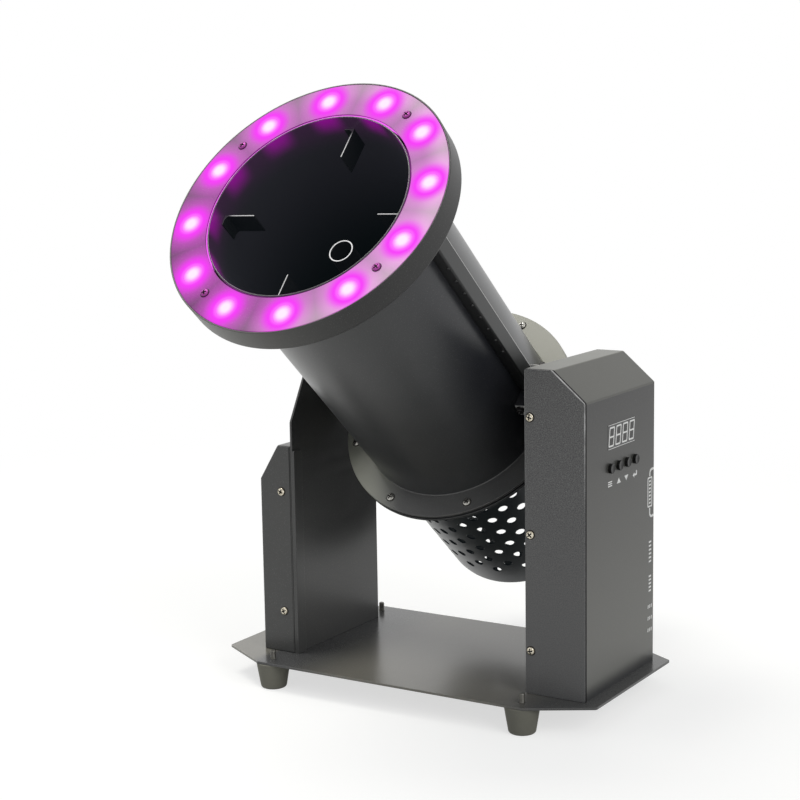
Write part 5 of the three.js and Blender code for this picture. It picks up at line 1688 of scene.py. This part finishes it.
# Motor guard: a can of 1.5 mm sheet with staggered rows of 10 mm holes, its rear end rolled in round an open
# mouth with two more rings of holes, and a flange welded to its front. Coated like the barrel.
guard_radius = 96.65
guard_wall = 1.5
guard_front = -44.9
guard_end = -238.9
guard_edge = 6
guard_mouth = 50
guard_columns = 36
guard_start = 6
guard_hole = 5
guard_rows = 6
guard_row = 24.2
first_row = -70.9
guard_end_circle = 77
guard_end_band = 10
guard_end_holes = 18
inner_end_circle = 61
inner_end_band = 6
guard_sides = 6
guard_flange_front = -44.6

form = bmesh.new()
guard_points = {}
divisions = guard_columns * guard_sides


def on_guard(step, reach, height):
    """A shared corner of the guard's mesh; steps go round it, and may be fractions."""
    key = (round(step % divisions, 4) % divisions, round(reach, 3), round(height, 3))
    if key not in guard_points:
        turn = 2 * math.pi * step / divisions + math.radians(guard_start)
        guard_points[key] = form.verts.new((reach * math.cos(turn), reach * math.sin(turn), height))
    return guard_points[key]


def patch(step, upper, lower):
    """A four-sided face one step wide, between two places of reach and height."""
    corners = [(step, upper), (step + 1, upper), (step + 1, lower), (step, lower)]
    form.faces.new([on_guard(corner_step, *place) for corner_step, place in corners])


def pierced(middle, half_step, half_rise, across, upright, hole_step, hole_rise, corner):
    """A patch with a round hole; corner(step, rise) gives the place in the sheet."""
    edge = [(-half_step + 2 * half_step * i / across, half_rise) for i in range(across)]
    edge += [(half_step, half_rise - 2 * half_rise * i / upright) for i in range(upright)]
    edge += [(half_step - 2 * half_step * i / across, -half_rise) for i in range(across)]
    edge += [(-half_step, -half_rise + 2 * half_rise * i / upright) for i in range(upright)]
    hole = []
    for index in range(len(edge)):
        turn = math.radians(135) - 2 * math.pi * index / len(edge)
        hole.append((hole_step * math.cos(turn), hole_rise * math.sin(turn)))
    outer = [corner(middle + step, rise) for step, rise in edge]
    inner = [corner(middle + step, rise) for step, rise in hole]
    for index in range(len(edge)):
        after = (index + 1) % len(edge)
        form.faces.new((outer[index], outer[after], inner[after], inner[index]))


half_cell = guard_sides / 2
wall_hole_step = guard_hole / guard_radius * divisions / (2 * math.pi)
for column in range(guard_columns):
    middle = column * guard_sides
    shift = guard_row / 2 if column % 2 else 0
    for row in range(guard_rows):
        height = first_row - shift - row * guard_row
        pierced(middle, half_cell, guard_row / 2, guard_sides, guard_sides, wall_hole_step, guard_hole,
                lambda step, rise: on_guard(step, guard_radius, height + rise))
    fill_top = first_row + guard_row / 2 if column % 2 else first_row - (guard_rows - 0.5) * guard_row
    for side in range(guard_sides):
        for step in range(guard_sides // 2):
            top = fill_top - step * guard_row / guard_sides
            bottom = fill_top - (step + 1) * guard_row / guard_sides
            patch(middle - half_cell + side, (guard_radius, top), (guard_radius, bottom))
bend = arc(guard_radius - guard_edge, guard_end + guard_edge, guard_edge, 0, -90, 5)
last_row = first_row - guard_rows * guard_row
bands = [
    [(guard_radius, guard_front), (guard_radius, first_row + guard_row / 2)],
    [(guard_radius, last_row), *bend, (guard_end_circle + guard_end_band, guard_end)],
    [(inner_end_circle - inner_end_band, guard_end), (guard_mouth, guard_end)],
]
for band in bands:
    for upper, lower in zip(band, band[1:]):
        for step in range(divisions):
            patch(step - half_cell, upper, lower)
end_step = divisions / guard_end_holes
end_rings = [(guard_end_circle, guard_end_band, 0), (inner_end_circle, inner_end_band, 0.5)]
for circle_radius, band, stagger in end_rings:
    end_hole_step = guard_hole / circle_radius * divisions / (2 * math.pi)
    for index in range(guard_end_holes):
        pierced((index + stagger) * end_step, end_step / 2, band, int(end_step), 4, end_hole_step, guard_hole,
                lambda step, rise: on_guard(step, circle_radius + rise, guard_end))
bmesh.ops.recalc_face_normals(form, faces=form.faces)
skin = bpy.data.meshes.new("guard_skin")
form.to_mesh(skin)
form.clear()
holder = bpy.data.objects.new("guard_skin", skin)
bpy.context.collection.objects.link(holder)
thicken = holder.modifiers.new("sheet", "SOLIDIFY")
thicken.thickness = guard_wall
thicken.offset = -1
thick = bpy.data.meshes.new_from_object(holder.evaluated_get(bpy.context.evaluated_depsgraph_get()))
form.from_mesh(thick)
for mesh in (skin, thick):
    bpy.data.meshes.remove(mesh)
piece("guard_can", form, barrel, "barrel", barrel_coat, "powder_coat", "motor_guard")

form = bmesh.new()
flange = oblong(guard_radius + 0.1, guard_flange_back, flange_radius, guard_flange_front)
spun(form, eased(flange, [0, 0.6, 0.6, 0], 3), Matrix(), rim_steps)
weld(form, guard_radius - bead_inset, guard_flange_back + bead_inset, -90)
piece("guard_front_flange", form, barrel, "barrel", barrel_coat, "powder_coat", "guard_flange")

# Cable duct: a folded channel along the barrel's right side that covers the lamps' leads, riveted along its
# lower wall.
duct_end = 112.4
duct_low = -6
duct_high = 12
duct_sheet = 1.5
duct_back = 21.5
duct_front = 279.9
rivet_x = 109
rivet_first = 90
rivet_pitch = 18.9
rivet_count = 8
rivet_profile = [(0, -0.2), (1.7, -0.2), (1.6, 0.4), (1, 0.9), (0, 1.05)]

duct_coat, place = material("duct_coat")
grain, specks = powder_grain(place)
x, y, along = on_barrel(place)
cloud = place.noise(14, 3.0)
# Painted shade on the duct's lower wall, and a painted highlight along its upper outer bend.
shaded_underside = y < duct_low + 1.2
bend_highlight = ((x - duct_end + 0.6) * 0.7 + (y - duct_high + 0.6) * 0.7) > -0.45
duct_tone = shaded_underside.blend(cloud.blend(shade(38, 40, 40), shade(47, 48, 48)), shade(20, 21, 22))
place.surface({
    "Base Color": bend_highlight.blend(duct_tone, shade(176, 176, 174)),
    "Roughness": cloud * 0.1 + 0.28,
    "Normal": grain,
})

form = bmesh.new()
clear = tube_radius + seat_gap
high_x = math.sqrt(clear ** 2 - duct_high ** 2)
low_x = math.sqrt(clear ** 2 - duct_low ** 2)
duct_section = [
    (high_x, duct_high),
    (duct_end, duct_high),
    (duct_end, duct_low),
    (low_x, duct_low),
    (low_x, duct_low + duct_sheet),
    (duct_end - duct_sheet, duct_low + duct_sheet),
    (duct_end - duct_sheet, duct_high - duct_sheet),
    (high_x, duct_high - duct_sheet),
]
sheet(form, eased(duct_section, [0, 2, 2, 0, 0, 0.6, 0.6, 0], 4), (), duct_back, duct_front, 0.3)
for index in range(rivet_count):
    seat = at(rivet_x, duct_low, rivet_first + index * rivet_pitch)
    spun(form, rivet_profile, seat @ to_front, 20)
piece("cable_channel", form, barrel, "barrel", duct_coat, "powder_coat", "cable_duct")

# Trunnions: a saddle of 3 mm sheet on each side of the barrel with a collar and a hollow shaft welded to its
# outer wall, bolted down over zinc-plated strips. The lamps' leads leave through the right shaft.
saddle_end = 124
saddle_sheet = 3
saddle_half = 21.2
saddle_width = 23
collar_radius = 16
collar_end = 130
trunnion_radius = 10
trunnion_bore = 7
trunnion_ends = {"right": 159, "left": 149}
lead_exit = (106.3, 3, 5)
sole_low = (99.5, 6)
sole_sheet = 1.5
bolt_places = ((-1, 104.5), (1, 111))
bolt_inset = 4.5
bolt_radius = 1.9
bolt_length = 4.8
bolt_point = (1.5, 5.3)
washer_radius = 4.6
washer_sheet = 0.8
bolt_nut = (3.4, 2.6)

sole_tones = ((186, 186, 184), (150, 150, 147))
sole_zinc = even_finish("sole_zinc", (300, 3.0, 0.6), sole_tones, 0.2, (0.2, 0.3), (0.1, 0.0001))

bolts = bmesh.new()
soles = bmesh.new()
washer = oblong(0, 0, washer_radius, washer_sheet)
bolt_end = [
    (0, washer_sheet),
    (bolt_radius, washer_sheet),
    (bolt_radius, bolt_length),
    bolt_point,
    (0, bolt_point[1]),
]
for side, shaft_reach in trunnion_ends.items():
    form = bmesh.new()
    turn = Matrix() if side == "right" else turned(180, "Z")
    wrap = math.degrees(math.asin(saddle_width / clear))
    wall = [*arc(0, 0, clear, -wrap, wrap, 12), (saddle_end, saddle_width), (saddle_end, -saddle_width)]
    holes = [circle(*lead_exit, 20)] if side == "right" else ()
    sheet(form, wall, holes, saddle_half - saddle_sheet, saddle_half, 0.6, turn)
    sheet(form, wall, (), -saddle_half, saddle_sheet - saddle_half, 0.6, turn)
    back = about(0, 0, saddle_width, saddle_half)
    bore = circle(0, 0, trunnion_bore)
    sheet(form, back, [bore], saddle_end - saddle_sheet, saddle_end, 0.6, turn @ along_x)
    shaft = eased(
        [
            (trunnion_bore, saddle_end - 2 * saddle_sheet),
            (collar_radius, saddle_end - 0.2),
            (collar_radius, collar_end),
            (trunnion_radius, collar_end),
            (trunnion_radius, shaft_reach),
            (trunnion_bore, shaft_reach),
        ],
        [0, 0.3, 1, 0.5, 0.8, 0.4],
        3,
    )
    spun(form, shaft, turn @ turned(90, "Y"), 56)
    for up, bolt_x in bolt_places:
        faces = sorted((up * saddle_width, up * (saddle_width + sole_sheet)))
        sole_high = (saddle_end - saddle_sheet, faces[1], saddle_half)
        block(soles, (sole_low[0], faces[0], sole_low[1]), sole_high, 0.4, turn)
        seat = turn @ at(bolt_x, up * (saddle_width + sole_sheet), saddle_half - bolt_inset)
        outward = seat @ turned(-90 * up, "X")
        spun(bolts, washer, outward, 28)
        nut(bolts, outward @ at(0, 0, washer_sheet), *bolt_nut)
        spun(bolts, bolt_end, outward, 20)
    piece(side + "_saddle", form, barrel, "barrel", barrel_coat, "powder_coat", side + "_trunnion")

piece("saddle_soles", soles, barrel, "barrel", sole_zinc, "nickel_screws")
piece("saddle_bolts", bolts, barrel, "barrel", black_steel, "nickel_screws")

# Studio: a plain white floor that keeps the machine's shadow, a white surround, and large soft lamps above
# and to both sides.
floor_size = 30
shadow_near = 0.7
shadow_far = 1.5

floor_material, place = material("studio_floor")
parts = place.node("SeparateXYZ", (), {"Vector": place})
far = (parts * parts + parts.other(1) * parts.other(1)).math("SQRT")
path = place.node("LightPath")
diffuse = place.node("BsdfDiffuse", (), {"Color": shade(178, 178, 176), "Roughness": 0.5})
brightening = place.node("Emission", (), {"Color": (1, 1, 1, 1), "Strength": 0.64})
shadowed = place.node("AddShader", (), {0: diffuse, 1: brightening})
white = place.node("Emission", (), {"Color": (1, 1, 1, 1), "Strength": 1.0})
backdrop = place.node("MixShader", (), {0: far.fade(shadow_near, shadow_far), 1: white, 2: shadowed})
seen = path.math("MAXIMUM", path.other("Is Glossy Ray"))
place.node("OutputMaterial", (), {"Surface": place.node("MixShader", (), {0: seen, 1: diffuse, 2: backdrop})})
mesh = bpy.data.meshes.new("studio_floor")
half = floor_size / 2
mesh.from_pydata([(-half, -half, 0), (half, -half, 0), (half, half, 0), (-half, half, 0)], [], [(0, 1, 2, 3)])
mesh.materials.append(floor_material)
floor = bpy.data.objects.new("studio_floor", mesh)
bpy.context.collection.objects.link(floor)

world = bpy.data.worlds.new("studio")
bpy.context.scene.world = world
world.use_nodes = True
world.node_tree.nodes.clear()
sky = Socket(world.node_tree)
path = sky.node("LightPath")
seen = path.math("MAXIMUM", path.other("Is Glossy Ray")).math("MAXIMUM", path.other("Is Transmission Ray"))
room = sky.node("Background", (), {"Color": (0.94, 0.97, 1, 1), "Strength": 0.42})
white = sky.node("Background", (), {"Color": (1, 1, 1, 1), "Strength": 1.0})
sky.node("OutputWorld", (), {"Surface": sky.node("MixShader", (), {0: seen, 1: room, 2: white})})

lamps = {
    "soft_key": (-66, 68, 2.3, 1.0, 27, (1.0, 0.985, 0.94)),
    "soft_right": (66, 28, 2.6, 1.4, 17, (1.0, 0.99, 0.97)),
    "soft_left": (-110, 24, 2.6, 1.2, 14, (1.0, 0.985, 0.93)),
}


def sight(bearing, height):
    """The direction of a bearing from the front and a height above the floor, in degrees."""
    bearing, height = math.radians(bearing), math.radians(height)
    level = math.cos(height)
    return math.sin(bearing) * level, -math.cos(bearing) * level, math.sin(height)


for name, (bearing, height, distance, size, power, tint) in lamps.items():
    light = bpy.data.lights.new(name, "AREA")
    light.shape = "SQUARE"
    light.size = size
    light.energy = power
    light.color = tint
    away = Vector(sight(bearing, height))
    lamp_object = bpy.data.objects.new(name, light)
    lamp_object.location = Vector((0, 0, 0.3)) + away * distance
    lamp_object.rotation_euler = away.to_track_quat("Z", "Y").to_euler()
    bpy.context.collection.objects.link(lamp_object)

# Camera: where the photograph was taken from, ahead and to the right, a little above the machine.
camera_place = (0.91489, -1.51182, 0.57757)
camera_azimuth = 31.884
camera_elevation = 8.958
camera_roll = -0.936
camera_lens = 81.2885

azimuth, roll = math.radians(camera_azimuth), math.radians(camera_roll)
back = Vector(sight(camera_azimuth, camera_elevation))
level = Vector((math.cos(azimuth), math.sin(azimuth), 0))
upright = back.cross(level)
right = level * math.cos(roll) + upright * math.sin(roll)
up = upright * math.cos(roll) - level * math.sin(roll)
data = bpy.data.cameras.new("camera")
data.lens = camera_lens
data.sensor_width = 36
camera = bpy.data.objects.new("camera", data)
camera.matrix_world = Matrix.Translation(camera_place) @ Matrix((right, up, back)).transposed().to_4x4()
bpy.context.collection.objects.link(camera)
bpy.context.scene.camera = camera
bpy.context.scene.view_settings.view_transform = "Standard"
